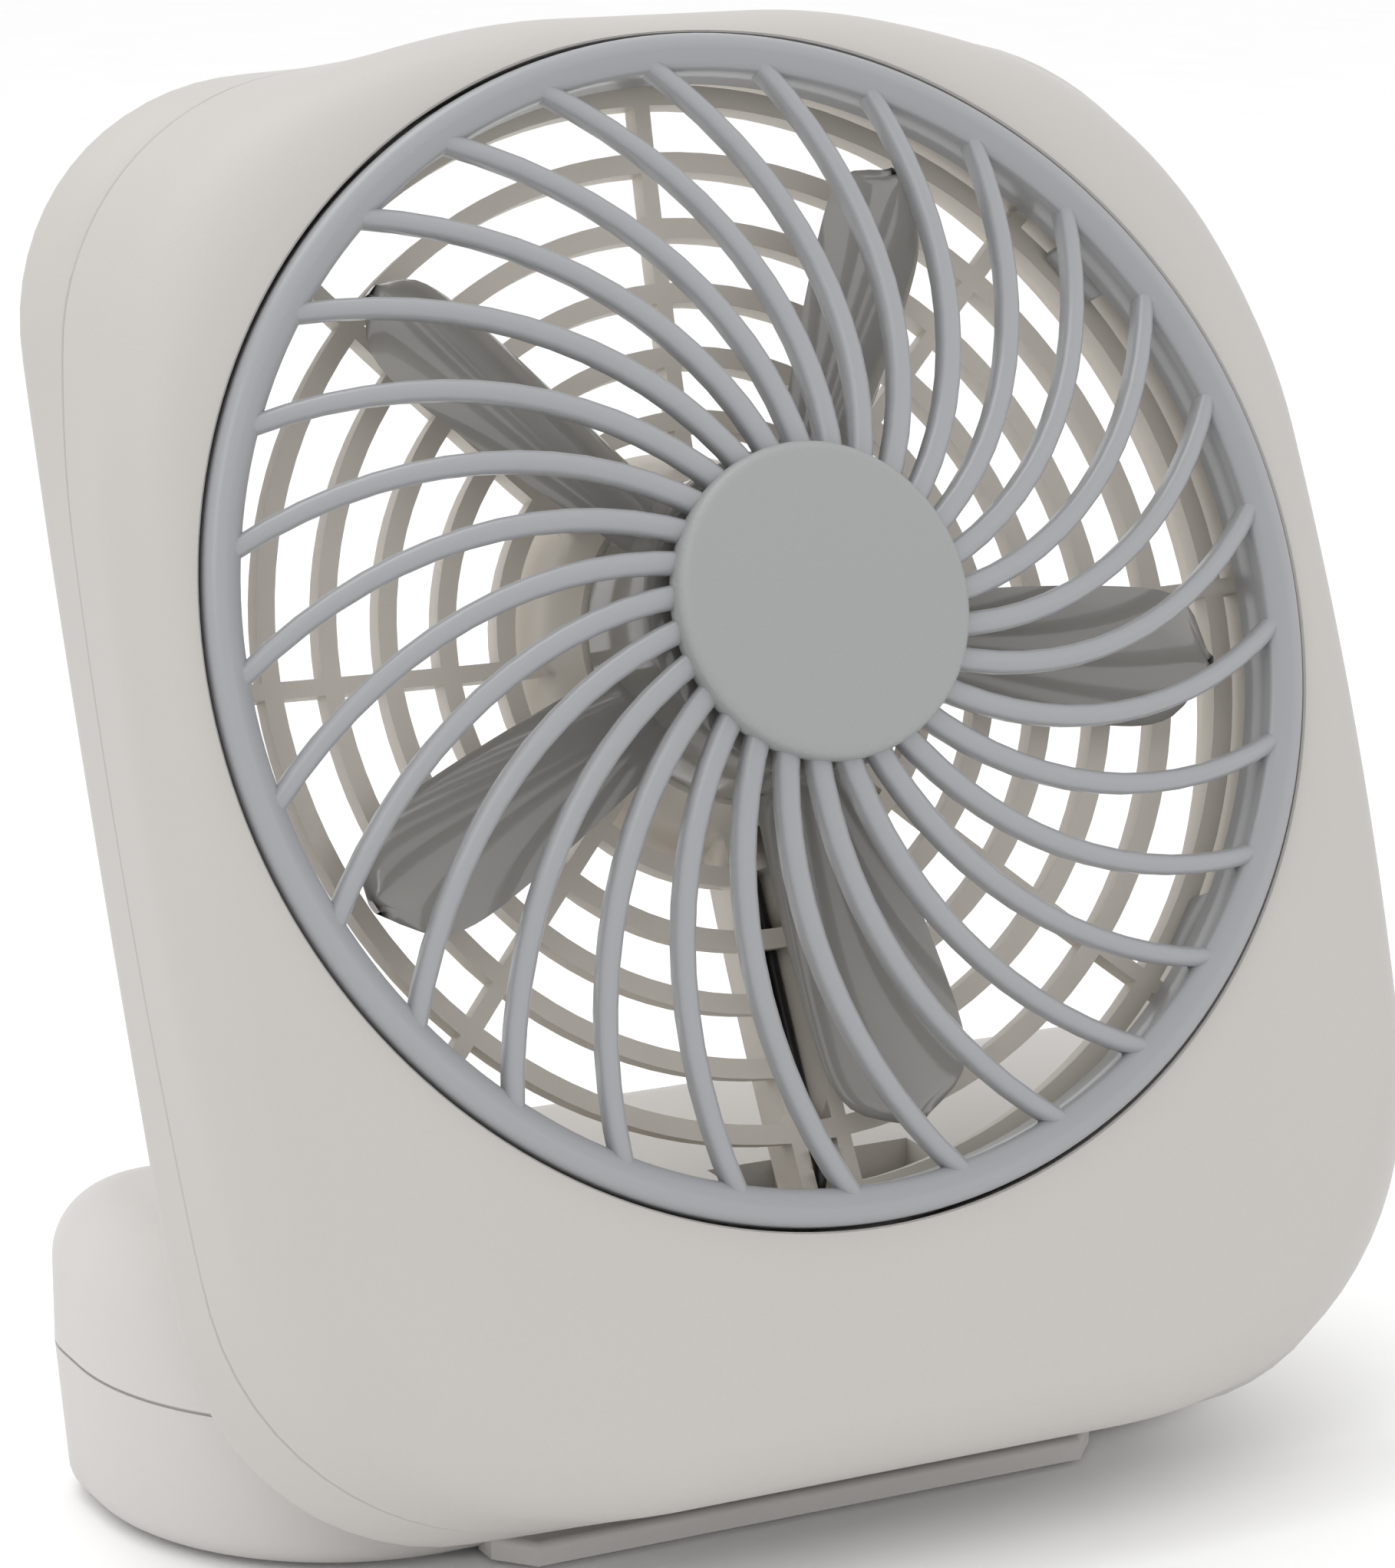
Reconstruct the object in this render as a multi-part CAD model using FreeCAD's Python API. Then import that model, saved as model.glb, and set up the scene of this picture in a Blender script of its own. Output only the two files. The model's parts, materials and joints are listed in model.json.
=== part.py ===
"""Folding desk fan: a tilting head with a round swirl grille, on a base that holds two D cells.

Millimetres, +Z up, the front faces -Y. The head is built upright, with the middle of the
grille's ring at the origin, then it is leaned back and set on the hinge. The finished fan
stands on the table at Z = 0, with X = Y = 0 under the middle of its bounding box.
"""
import FreeCAD, Part
import math
import os

V = FreeCAD.Vector
AXIS_X = V(1, 0, 0)
AXIS_Y = V(0, 1, 0)
AXIS_Z = V(0, 0, 1)
REACH = 300.0                 # longer than the fan, for half-space and through cuts
PLAY = 0.3                    # plain gap between pieces that don't touch

# Stance
TILT = 22.2                   # lean of the head, degrees back from upright
HINGE_Y = 3.5                 # hinge axis, in the base
HINGE_Z = 30.0
HINGE_HEAD_Y = 32.9           # the same axis, in the upright head
HINGE_HEAD_Z = -71.4

# Head shells
HEAD_WALL = 2.2
FACE_Y = 0.8
PARTING_Y = 15.0
REAR_Y = 24.0
HEAD_HALF_WIDTH = 80.3
HEAD_SAG = 0.6                # how far each side bows outward
HEAD_TOP = 75.5
HEAD_BOTTOM = -99.5
HEAD_TOP_RADIUS = 32.0
HEAD_BOTTOM_RADIUS = 30.0
FACE_FILLET = 7.0
REAR_FILLET = 3.0

# Front grille
RING_RADIUS = 71.0
RING_GAP = 0.5                # between ring and housing
RING_WIDTH = 4.5
RING_DEPTH = 8.2
RING_CREST = 0.8              # how far the ring stands in front of its own plane
RING_SKIN = 1.4
COLLAR_WALL = 2.0
LEDGE_WIDTH = 1.5
RIB_COUNT = 29
RIB_RING_ANGLE = 179.5        # where one rib meets the ring, degrees anticlockwise from +X
RIB_SWEEP = 0.66              # degrees of turn per millimetre of radius
RIB_RING_WIDTH = 2.5
RIB_HUB_WIDTH = 3.0
RIB_DEPTH = 2.8
GRILLE_RISE = 11.0            # height of the dome in front of the ring
CAP_RADIUS = 18.7
CAP_FACE = 12.2
CAP_DEPTH = 2.6
TAB_ANGLES = (37.0, 143.0, 217.0, 322.0)
TAB_WIDTH = 8.0
TAB_LENGTH = 5.0

# Rear grille
DUCT_RADIUS = 70.0
DUCT_WALL = 2.0
REAR_RING_RADII = (27.9, 35.6, 43.3, 51.1, 59.0, 67.0)
BRIDGE_RINGS = (1, 4)         # the rings that pass in front of the wire channel
REAR_RING_WIDTH = 2.4
REAR_RIB_DEPTH = 2.8
REAR_DISH_Y = 18.1            # depth of the rear grille's front face on the axis
REAR_DISH_RISE = 5.5          # how much nearer that face comes at DISH_RADIUS
DISH_RADIUS = 67.0
SPOKE_COUNT = 8
SPOKE_WIDTH = 2.0
CHANNEL_WIDTH = 7.9
CHANNEL_GAP = 4.0
CHANNEL_DEPTH = 6.4
CHANNEL_FLOOR = 1.2

# Motor and its cup
CUP_FRONT_Y = 13.3
CUP_FRONT_RADIUS = 20.0
CUP_SHOULDER_Y = 26.0
CUP_SHOULDER_RADIUS = 25.8
CUP_REAR_Y = 31.3
CUP_REAR_RADIUS = 22.5
CUP_WALL = 2.0
MOTOR_RADIUS = 12.2
MOTOR_FRONT_Y = 8.5
MOTOR_END_CAP = 1.3
CAN_WALL = 0.8
GLUE_GAP = 0.05
SHAFT_RADIUS = 1.0
SHAFT_PLAY = 0.04
BUSHING_RADIUS = 3.0
BUSHING_LENGTH = 1.5
RETAINER_THICKNESS = 1.8
RETAINER_SCREW_RADIUS = 15.2
TERMINAL_X = 3.2
TERMINAL_LENGTH = 2.4

# Impeller
HUB_RADIUS = 19.5
HUB_WALL = 1.8
HUB_FRONT_Y = -5.5
HUB_REAR_Y = 12.5
HUB_BOSS_RADIUS = 4.0
BLADE_COUNT = 5
BLADE_FIRST_ANGLE = 351.4
BLADE_TIP_RADIUS = 61.5
BLADE_WIDTH = 18.0
BLADE_PITCH = 27.0
BLADE_CAMBER_RADIUS = 60.0
BLADE_THICKNESS = 1.6
BLADE_MID_Y = 6.0

# Base
BASE_HALF_WIDTH = 79.0
BASE_DEPTH = 55.0
BASE_FRONT_CORNER = 34.0
BASE_REAR_CORNER = 15.0
BASE_ROUND = 8.5              # rounding of the top edge, concentric with the hinge in front
BASE_BACK = HINGE_Y - BASE_ROUND + BASE_DEPTH
BASE_WALL = 2.0
BASE_ROOF = 1.8
BASE_FLOOR = 1.6
BASE_TAPER = 1.5
BASE_LOW_FILLET = 3.5
FOOT_HEIGHT = 0.8
SEAM_Z = 19.5
SEAM_GROOVE = 0.4
LIP_REACH = 4.5
LIP_HALF_WIDTH = 37.0
LIP_FLARE = 4.0
LIP_BOTTOM = 0.6
LIP_TOP = 3.4

# Hinge
LUG_X = 17.0
LUG_WIDTH = 11.1
LUG_RADIUS = 6.2
WASHER_THICKNESS = 0.6
WASHER_PLAY = 0.05
WASHER_RADIUS = 5.5
PIN_RADIUS = 2.0
PIN_PLAY = 0.05
NOTCH_RADIUS = 7.0
NOTCH_WALL = 2.0
GUIDE_HALF_WIDTH = 3.4
GUIDE_NOTCH_HALF_WIDTH = 4.6
GUIDE_END_GAP = 3.0           # the wire guide stops this far short of the hinge axis
GUIDE_HOLE = 2.2

# Two D cells, end to end
CELL_RADIUS = 16.6
CELL_LENGTH = 61.5
CELL_NUB_RADIUS = 4.75
CELL_NUB_LENGTH = 1.5
CELL_Y = BASE_BACK - 21.1
CELL_Z = 19.3
SPRING_LENGTH = 2.6
SPRING_TURNS = 3
SPRING_WIRE = 0.4
CONTACT_THICKNESS = 0.5
PARTITION_THICKNESS = 1.6
CONTACT_FRONT_Y = 13.5
CONTACT_BACK_Y = BASE_BACK - 10.0

# Battery door, hinged along its rear edge
DOOR_GAP = 0.4
DOOR_HALF_WIDTH = 62.2
DOOR_FRONT_Y = 12.3
DOOR_AXIS_Y = BASE_BACK - 5.7
DOOR_AXIS_Z = 2.0
DOOR_BARREL = 1.2
DOOR_PIN_RADIUS = 0.7
DOOR_PIN_LENGTH = 1.6

# Control recess on the right-hand end: slide switch and power jack
PANEL_X = 75.4
PANEL_THICKNESS = 1.8
PANEL_FRONT_Y = 12.5
PANEL_BACK_Y = BASE_BACK - 15.5
PANEL_LOW_Z = 21.5
PANEL_HIGH_Z = 33.0
CONTROL_Z = 27.0
SWITCH_Y = 19.0
SWITCH_TRAVEL = 3.0
SWITCH_DEPTH = 6.0
SWITCH_LENGTH = 10.4
SWITCH_HEIGHT = 6.5
KNOB_LENGTH = 6.0
KNOB_HEIGHT = 5.0
KNOB_PROUD = 2.3
STEM_SIZE = 2.4
JACK_Y = BASE_BACK - 20.6
JACK_RADIUS = 4.3
JACK_NOSE_RADIUS = 3.9
JACK_HOLE_RADIUS = 2.8
JACK_DEPTH = 6.0
JACK_PIN_RADIUS = 1.0

# Self-tapping screws
SCREW_HEAD_RADIUS = 2.6
SCREW_HEAD_HEIGHT = 1.8
SCREW_SHANK_RADIUS = 1.25
SCREW_HOLE_PLAY = 0.25
BOSS_RADIUS = 3.2
HOUSING_SCREWS = ((-55.0, 55.0), (55.0, 55.0), (-60.0, -80.0), (60.0, -80.0))
BASE_SCREWS = ((-42.0, 1.2), (42.0, 1.2), (-70.5, BASE_BACK - 13.0), (70.5, BASE_BACK - 13.0))
FEET = ((-56.0, 7.0), (56.0, 7.0), (-68.4, BASE_BACK - 19.5), (68.4, BASE_BACK - 19.5))
FOOT_RADIUS = 3.4
FOOT_SEAT = 0.8

# Wires
WIRE_RADIUS = 0.75


# ---------------------------------------------------------------- plain shapes

def box(x0, x1, y0, y1, z0, z1):
    """A block between two corners."""
    return Part.makeBox(x1 - x0, y1 - y0, z1 - z0, V(x0, y0, z0))


def rod_x(radius, x0, x1, y, z):
    """A cylinder along X."""
    return Part.makeCylinder(radius, x1 - x0, V(x0, y, z), AXIS_X)


def rod_y(radius, y0, y1, x=0.0, z=0.0):
    """A cylinder along Y."""
    return Part.makeCylinder(radius, y1 - y0, V(x, y0, z), AXIS_Y)


def rod_z(radius, z0, z1, x, y):
    """A cylinder along Z."""
    return Part.makeCylinder(radius, z1 - z0, V(x, y, z0), AXIS_Z)


def tube_y(outer, inner, y0, y1):
    """A ring round the Y axis."""
    return rod_y(outer, y0, y1).cut(rod_y(inner, y0, y1))


def spun(profile):
    """A solid of revolution round the Y axis, from (radius, y) points."""
    points = [V(radius, y, 0) for radius, y in profile]
    face = Part.Face(Part.makePolygon(points + points[:1]))
    return face.revolve(V(0, 0, 0), AXIS_Y, 360)


def joined(shapes):
    """One solid from overlapping ones."""
    shapes = list(shapes)
    return shapes[0].multiFuse(shapes[1:]).removeSplitter()


def at_angle(shape, degrees):
    """A copy turned round the Y axis, anticlockwise when seen from the front."""
    turned = shape.copy()
    turned.rotate(V(0, 0, 0), AXIS_Y, -degrees)
    return turned


def ring_of(shape, count, first=0.0):
    """Copies at even angles round the Y axis."""
    return [at_angle(shape, first + 360.0 * k / count) for k in range(count)]


def mirrored(shape):
    """The shape's left-hand twin."""
    return shape.mirror(V(0, 0, 0), AXIS_X)


def edges_in_plane(shape, level, axis):
    """Edges that lie in the plane where the coordinate called axis equals level."""
    found = []
    for edge in shape.Edges:
        heights = [getattr(vertex.Point, axis) for vertex in edge.Vertexes]
        if max(abs(height - level) for height in heights) < 0.01:
            found.append(edge)
    return found


def screw(length, axis, place):
    """A pan-head screw: its head is at place and its shank runs along axis."""
    head = Part.makeCylinder(SCREW_HEAD_RADIUS, SCREW_HEAD_HEIGHT, place, axis)
    shank = Part.makeCylinder(SCREW_SHANK_RADIUS, length, place + axis * SCREW_HEAD_HEIGHT, axis)
    slot_depth = SCREW_HEAD_HEIGHT / 2
    slot = box(-SCREW_HEAD_RADIUS, SCREW_HEAD_RADIUS, -0.3, 0.3, 0, slot_depth)
    cross = slot.fuse(box(-0.3, 0.3, -SCREW_HEAD_RADIUS, SCREW_HEAD_RADIUS, 0, slot_depth))
    cross = cross.common(rod_z(0.6 * SCREW_HEAD_RADIUS, 0, slot_depth, 0, 0))
    cross.Placement = FreeCAD.Placement(place, FreeCAD.Rotation(AXIS_Z, axis))
    return head.fuse(shank).cut(cross)


def wire_along(points, radius, name):
    """A round wire along straight runs joined by the largest arcs that fit."""
    points = [V(*point) for point in points]
    edges = []
    start = points[0]
    radii = []
    for before, corner, after in zip(points, points[1:], points[2:]):
        into = (corner - before).normalize()
        out = (after - corner).normalize()
        turn = into.getAngle(out)
        reach = 0.45 * min(corner.distanceToPoint(before), corner.distanceToPoint(after))
        bend = reach / math.tan(turn / 2)
        radii.append(round(bend, 1))
        arc_start = corner - into * reach
        arc_end = corner + out * reach
        inward = (out - into).normalize()
        middle = corner + inward * (bend / math.cos(turn / 2) - bend)
        edges.append(Part.LineSegment(start, arc_start).toShape())
        edges.append(Part.Arc(arc_start, middle, arc_end).toShape())
        start = arc_end
    edges.append(Part.LineSegment(start, points[-1]).toShape())
    path = Part.Wire(edges)
    section = Part.Wire(Part.makeCircle(radius, points[0], points[1] - points[0]))
    tube = path.makePipeShell([section], True, True)
    ideal = math.pi * radius ** 2 * path.Length
    print(name, "length", round(path.Length, 1), "radii", radii, "volume ratio", round(tube.Volume / ideal, 3))
    return tube


# ---------------------------------------------------------------- head shells

def head_block(inset):
    """The head's solid outer shape, a rounded square with bowed sides, drawn in by inset."""
    front = FACE_Y + inset
    rear = REAR_Y - inset
    half_width = HEAD_HALF_WIDTH - inset
    top = HEAD_TOP - inset
    bottom = HEAD_BOTTOM + inset
    corner = half_width - HEAD_SAG
    middle = (top + bottom) / 2
    right = Part.Arc(V(corner, front, bottom), V(half_width, front, middle), V(corner, front, top)).toShape()
    left = Part.Arc(V(-corner, front, top), V(-half_width, front, middle), V(-corner, front, bottom)).toShape()
    over = Part.makeLine(V(corner, front, top), V(-corner, front, top))
    under = Part.makeLine(V(-corner, front, bottom), V(corner, front, bottom))
    block = Part.Face(Part.Wire([under, right, over, left])).extrude(V(0, rear - front, 0))
    for level, radius in ((top, HEAD_TOP_RADIUS), (bottom, HEAD_BOTTOM_RADIUS)):
        corners = [edge for edge in edges_in_plane(block, level, "z") if edge.BoundBox.YLength > 1.0]
        corners = [edge for edge in corners if edge.BoundBox.XLength < 1.0]
        block = block.makeFillet(radius - inset, corners)
    block = block.makeFillet(FACE_FILLET - inset, edges_in_plane(block, front, "y"))
    return block.makeFillet(REAR_FILLET - inset, edges_in_plane(block, rear, "y"))


def front_housing():
    """Front shell: round opening, collar with a ledge for the grille, and screw bosses."""
    outer = head_block(0.0)
    shell = outer.cut(head_block(HEAD_WALL))
    opening = RING_RADIUS + RING_GAP
    collar = tube_y(opening + COLLAR_WALL, opening, FACE_Y + 0.5, RING_DEPTH)
    ledge = tube_y(opening + COLLAR_WALL, RING_RADIUS - LEDGE_WIDTH + RING_GAP, RING_DEPTH, RING_DEPTH + 1.6)
    bosses = [rod_y(BOSS_RADIUS, FACE_Y + HEAD_WALL, PARTING_Y + 2.0, x, z) for x, z in HOUSING_SCREWS]
    added = joined([collar, ledge] + bosses).common(outer)
    half = box(-REACH, REACH, -REACH, PARTING_Y, -REACH, REACH)
    shell = joined([shell.common(half), added])
    shell = shell.cut(rod_y(opening, -REACH, RING_DEPTH))
    for x, z in HOUSING_SCREWS:
        shell = shell.cut(rod_y(SCREW_SHANK_RADIUS, FACE_Y + HEAD_WALL + 2.5, REACH, x, z))
    return shell


def dish_y(radius):
    """Depth of the rear grille's front face at a radius."""
    return REAR_DISH_Y - REAR_DISH_RISE * (radius / DISH_RADIUS) ** 2


def spun_sheet(front_y, radii, thickness):
    """A bowed sheet round the Y axis, as a few cones through its front face's depths."""
    front = [(radius, front_y(radius)) for radius in radii]
    back = [(radius, front_y(radius) + thickness) for radius in reversed(radii)]
    return spun(front + back)


def dish(thickness):
    """The dished plate that the rear grille is cut from."""
    between = [(low + high) / 2 for low, high in zip(REAR_RING_RADII, REAR_RING_RADII[1:])]
    return spun_sheet(dish_y, [8.0] + between + [DUCT_RADIUS + DUCT_WALL], thickness)


def rear_grille():
    """Dished rings on spokes; the bottom spoke is an open channel for the wires."""
    low_y = 0.0
    high_y = REAR_Y + CHANNEL_DEPTH
    slot = box(-CHANNEL_GAP / 2, CHANNEL_GAP / 2, low_y, high_y, -DUCT_RADIUS - DUCT_WALL, 0)
    bars = []
    for index, radius in enumerate(REAR_RING_RADII):
        ring = tube_y(radius + REAR_RING_WIDTH / 2, radius - REAR_RING_WIDTH / 2, low_y, high_y)
        if index not in BRIDGE_RINGS:
            ring = ring.cut(slot)
        bars.append(ring)
    spoke = box(CUP_FRONT_RADIUS, DUCT_RADIUS + 0.5, low_y, high_y, -SPOKE_WIDTH / 2, SPOKE_WIDTH / 2)
    for index in range(SPOKE_COUNT):
        angle = 360.0 * index / SPOKE_COUNT
        if angle != 270.0:
            bars.append(at_angle(spoke, angle))
    grille = joined(bars).common(dish(REAR_RIB_DEPTH))
    half = CHANNEL_WIDTH / 2
    channel = box(-half, half, low_y, high_y, -DUCT_RADIUS - 0.5, -CUP_FRONT_RADIUS).common(dish(CHANNEL_DEPTH))
    channel = channel.cut(slot.common(dish(CHANNEL_DEPTH - CHANNEL_FLOOR)))
    return joined([grille, channel])


def cup_radius(y):
    """Outer radius of the motor cup's cone at depth y."""
    share = (y - CUP_FRONT_Y) / (CUP_SHOULDER_Y - CUP_FRONT_Y)
    return CUP_FRONT_RADIUS + share * (CUP_SHOULDER_RADIUS - CUP_FRONT_RADIUS)


def retainer_holes(radius, y0, y1):
    """The two screw positions either side of the motor."""
    return [rod_y(radius, y0, y1, side * RETAINER_SCREW_RADIUS, 0) for side in (-1, 1)]


def motor_cup():
    """Cone-shaped cup that holds the motor, with bosses for its retainer."""
    inner = CUP_WALL
    floor = CUP_REAR_Y - CUP_WALL
    profile = [(0, CUP_REAR_Y), (CUP_REAR_RADIUS, CUP_REAR_Y), (CUP_SHOULDER_RADIUS, CUP_SHOULDER_Y),
               (CUP_FRONT_RADIUS, CUP_FRONT_Y), (CUP_FRONT_RADIUS - inner, CUP_FRONT_Y),
               (CUP_SHOULDER_RADIUS - inner, CUP_SHOULDER_Y), (CUP_REAR_RADIUS - inner, floor), (0, floor)]
    cup = spun(profile)
    bosses = retainer_holes(BOSS_RADIUS - 1.0, retainer_back(), floor + 0.5)
    cup = joined([cup] + bosses)
    for hole in retainer_holes(SCREW_SHANK_RADIUS - 0.25, retainer_back(), floor):
        cup = cup.cut(hole)
    return cup


def wire_exit():
    """The opening at the foot of the cup that lets the motor's wires into the channel."""
    half = CHANNEL_GAP / 2 + PLAY
    exit_y = dish_y(CUP_FRONT_RADIUS)
    low = -CUP_SHOULDER_RADIUS - 1.0
    return box(-half, half, exit_y, exit_y + CHANNEL_DEPTH + 1.5, low, -MOTOR_RADIUS - TERMINAL_LENGTH)


def lug(half_width, radius, stop_y):
    """An arm from the rear wall towards the hinge axis, centred on X = 0."""
    low = HINGE_HEAD_Z - radius
    high = HINGE_HEAD_Z + radius
    return box(-half_width, half_width, REAR_Y - HEAD_WALL / 2, stop_y, low, high)


def hinge_lugs():
    """Two round-ended lugs that turn on the pins."""
    arm = lug(LUG_WIDTH / 2, LUG_RADIUS, HINGE_HEAD_Y)
    arm = arm.fuse(rod_x(LUG_RADIUS, -LUG_WIDTH / 2, LUG_WIDTH / 2, HINGE_HEAD_Y, HINGE_HEAD_Z))
    arm = arm.cut(rod_x(PIN_RADIUS + PIN_PLAY, -LUG_WIDTH, LUG_WIDTH, HINGE_HEAD_Y, HINGE_HEAD_Z))
    arm.translate(V(LUG_X, 0, 0))
    return [arm, mirrored(arm)]


def rear_housing():
    """Rear shell in one moulding: rim, duct, dished grille, motor cup and hinge lugs."""
    outer = head_block(0.0)
    half = box(-REACH, REACH, PARTING_Y, REACH, -REACH, REACH)
    shell = outer.cut(head_block(HEAD_WALL)).common(half)
    shell = shell.cut(rod_y(DUCT_RADIUS, -REACH, REACH))
    duct = tube_y(DUCT_RADIUS + DUCT_WALL, DUCT_RADIUS, RING_DEPTH + 2.6, REAR_Y - 0.5)
    posts = [rod_y(BOSS_RADIUS + 1.0, PARTING_Y + 2.0, REAR_Y - 1.0, x, z) for x, z in HOUSING_SCREWS]
    guide = lug(GUIDE_HALF_WIDTH, GUIDE_HALF_WIDTH, HINGE_HEAD_Y - GUIDE_END_GAP)
    shell = joined([shell, duct, guide] + posts + hinge_lugs())
    for x, z in HOUSING_SCREWS:
        shell = shell.cut(rod_y(SCREW_SHANK_RADIUS + SCREW_HOLE_PLAY, 0, REACH, x, z))
        shell = shell.cut(rod_y(SCREW_HEAD_RADIUS + SCREW_HOLE_PLAY, REAR_Y - 4.0, REACH, x, z))
    shell = joined([shell, rear_grille(), motor_cup()])
    low = HINGE_HEAD_Z - GUIDE_HOLE
    high = HINGE_HEAD_Z + GUIDE_HOLE
    wire_hole = box(-GUIDE_HOLE, GUIDE_HOLE, dish_y(DUCT_RADIUS) + REAR_RIB_DEPTH, REACH, low, high)
    bend_room = box(-CHANNEL_GAP / 2, CHANNEL_GAP / 2, dish_y(DUCT_RADIUS) + REAR_RIB_DEPTH, REAR_Y - 1.5,
                    low, -REAR_RING_RADII[-1] + REAR_RING_WIDTH)
    return shell.cut(wire_hole).cut(bend_room).cut(wire_exit())


# ---------------------------------------------------------------- front grille

def dome_y(radius):
    """Depth of the front grille's dome at a radius; negative is towards the front."""
    return -GRILLE_RISE * (1 - (radius / (RING_RADIUS - RING_WIDTH / 2)) ** 2)


def rib_point(radius, offset):
    """A point on a rib's edge, offset sideways from its centre line."""
    angle = math.radians(RIB_RING_ANGLE - RIB_SWEEP * (RING_RADIUS - RING_WIDTH - radius))
    along = V(math.cos(angle), 0, math.sin(angle))
    across = V(-math.sin(angle), 0, math.cos(angle))
    return along * radius + across * offset


def rib_plan():
    """One swirl rib as a tall block, to be cut by the dome."""
    inner = CAP_RADIUS - 1.5
    outer = RING_RADIUS - RING_WIDTH + 1.0
    middle = (inner + outer) / 2
    slant = 1 / math.cos(math.atan(math.radians(RIB_SWEEP) * middle))
    half_widths = [RIB_HUB_WIDTH / 2, slant * (RIB_RING_WIDTH + RIB_HUB_WIDTH) / 4, slant * RIB_RING_WIDTH / 2]
    radii = (inner, middle, outer)
    one = [rib_point(radius, half) for radius, half in zip(radii, half_widths)]
    two = [rib_point(radius, -half) for radius, half in zip(radii, half_widths)]
    edges = [Part.Arc(*one).toShape(), Part.makeLine(one[2], two[2]),
             Part.Arc(*reversed(two)).toShape(), Part.makeLine(two[0], one[0])]
    face = Part.Face(Part.Wire(edges))
    face.translate(V(0, -2 * GRILLE_RISE, 0))
    return face.extrude(V(0, 3 * GRILLE_RISE, 0))


def dome_plate():
    """The dome that all ribs follow."""
    steps = 6
    return spun_sheet(dome_y, [1.0] + [RING_RADIUS * step / steps for step in range(1, steps + 1)], RIB_DEPTH)


def front_grille():
    """Ring, swirl ribs, hub cap and snap tabs, all one moulding."""
    inner = RING_RADIUS - RING_WIDTH
    crest = inner + 2 * RING_WIDTH / 3
    ring = spun([(inner, 1.2), (crest, -RING_CREST), (RING_RADIUS, 0.4), (RING_RADIUS, RING_DEPTH),
                 (RING_RADIUS - RING_SKIN, RING_DEPTH), (RING_RADIUS - RING_SKIN, 2.2),
                 (inner + RING_SKIN, 2.8), (inner + RING_SKIN, RING_DEPTH - 1.2), (inner, RING_DEPTH - 1.2)])
    cap = spun([(0, -CAP_FACE), (CAP_RADIUS - 1.2, -CAP_FACE + 0.2), (CAP_RADIUS, -CAP_FACE + 1.2),
                (CAP_RADIUS, -CAP_FACE + CAP_DEPTH), (CAP_RADIUS - 2.0, -CAP_FACE + CAP_DEPTH + 1.5),
                (CAP_RADIUS - 3.5, -CAP_FACE + CAP_DEPTH), (0, -CAP_FACE + CAP_DEPTH)])
    ribs = Part.makeCompound(ring_of(rib_plan(), RIB_COUNT)).common(dome_plate())
    tab = box(inner + 0.2, inner + RING_SKIN, RING_DEPTH - 1.7, RING_DEPTH - 1.2 + TAB_LENGTH,
              -TAB_WIDTH / 2, TAB_WIDTH / 2)
    tabs = [at_angle(tab, angle) for angle in TAB_ANGLES]
    return joined([ring, cap] + ribs.Solids + tabs)


# ---------------------------------------------------------------- motor

def retainer_front():
    """Front face of the motor retainer, just behind the impeller's hub."""
    return HUB_REAR_Y + 1.2


def retainer_back():
    """Rear face of the motor retainer, on its bosses."""
    return retainer_front() + RETAINER_THICKNESS


def motor_back():
    """Rear face of the motor, on the floor of its cup."""
    return CUP_REAR_Y - CUP_WALL


def motor_can():
    """Drawn steel can, open at the back, with a hole for the bushing."""
    can_back = motor_back() - MOTOR_END_CAP
    can = rod_y(MOTOR_RADIUS, MOTOR_FRONT_Y, can_back)
    can = can.cut(rod_y(MOTOR_RADIUS - CAN_WALL, MOTOR_FRONT_Y + CAN_WALL, can_back))
    return can.cut(rod_y(BUSHING_RADIUS, 0, can_back))


def motor_bushing():
    """Sintered bearing in the can's front."""
    end = MOTOR_FRONT_Y + CAN_WALL
    return tube_y(BUSHING_RADIUS, SHAFT_RADIUS + SHAFT_PLAY, MOTOR_FRONT_Y - BUSHING_LENGTH, end)


def motor_end_cap():
    """Plastic cap with the rear bearing."""
    front = motor_back() - MOTOR_END_CAP
    return tube_y(MOTOR_RADIUS, SHAFT_RADIUS + SHAFT_PLAY, front, motor_back())


def motor_magnets():
    """Two arc magnets glued in the can."""
    outer = MOTOR_RADIUS - CAN_WALL - GLUE_GAP
    band = tube_y(outer, outer - 2.0, MOTOR_FRONT_Y + 2.5, motor_back() - 4.0)
    gap = box(-REACH, REACH, 0, REACH, -3.0, 3.0)
    return Part.makeCompound(band.cut(gap).Solids)


def motor_terminals():
    """Two brass tabs that stick out of the end cap, towards the wire channel."""
    middle = motor_back() - MOTOR_END_CAP / 2
    tabs = []
    for side in (-1, 1):
        x = side * TERMINAL_X
        tab = box(x - 1.0, x + 1.0, middle - 0.2, middle + 0.2, -MOTOR_RADIUS - TERMINAL_LENGTH, 0)
        tabs.append(tab.cut(rod_y(MOTOR_RADIUS, 0, REACH)))
    return Part.makeCompound(tabs)


def motor_retainer():
    """Flat ring that clamps the motor in its cup."""
    outer = cup_radius(retainer_front()) - CUP_WALL - 0.2
    plate = tube_y(outer, MOTOR_RADIUS + 0.05, retainer_front(), retainer_back())
    for hole in retainer_holes(SCREW_SHANK_RADIUS, 0, REACH):
        plate = plate.cut(hole)
    return plate


def retainer_screws():
    """Two short screws that hold the retainer."""
    screws = []
    for side in (-1, 1):
        x = side * RETAINER_SCREW_RADIUS
        head = rod_y(1.9, retainer_front() - 0.9, retainer_front(), x, 0)
        shank = rod_y(1.0, retainer_front(), retainer_front() + 8.0, x, 0)
        screws.append(head.fuse(shank))
    return Part.makeCompound(screws)


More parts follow.
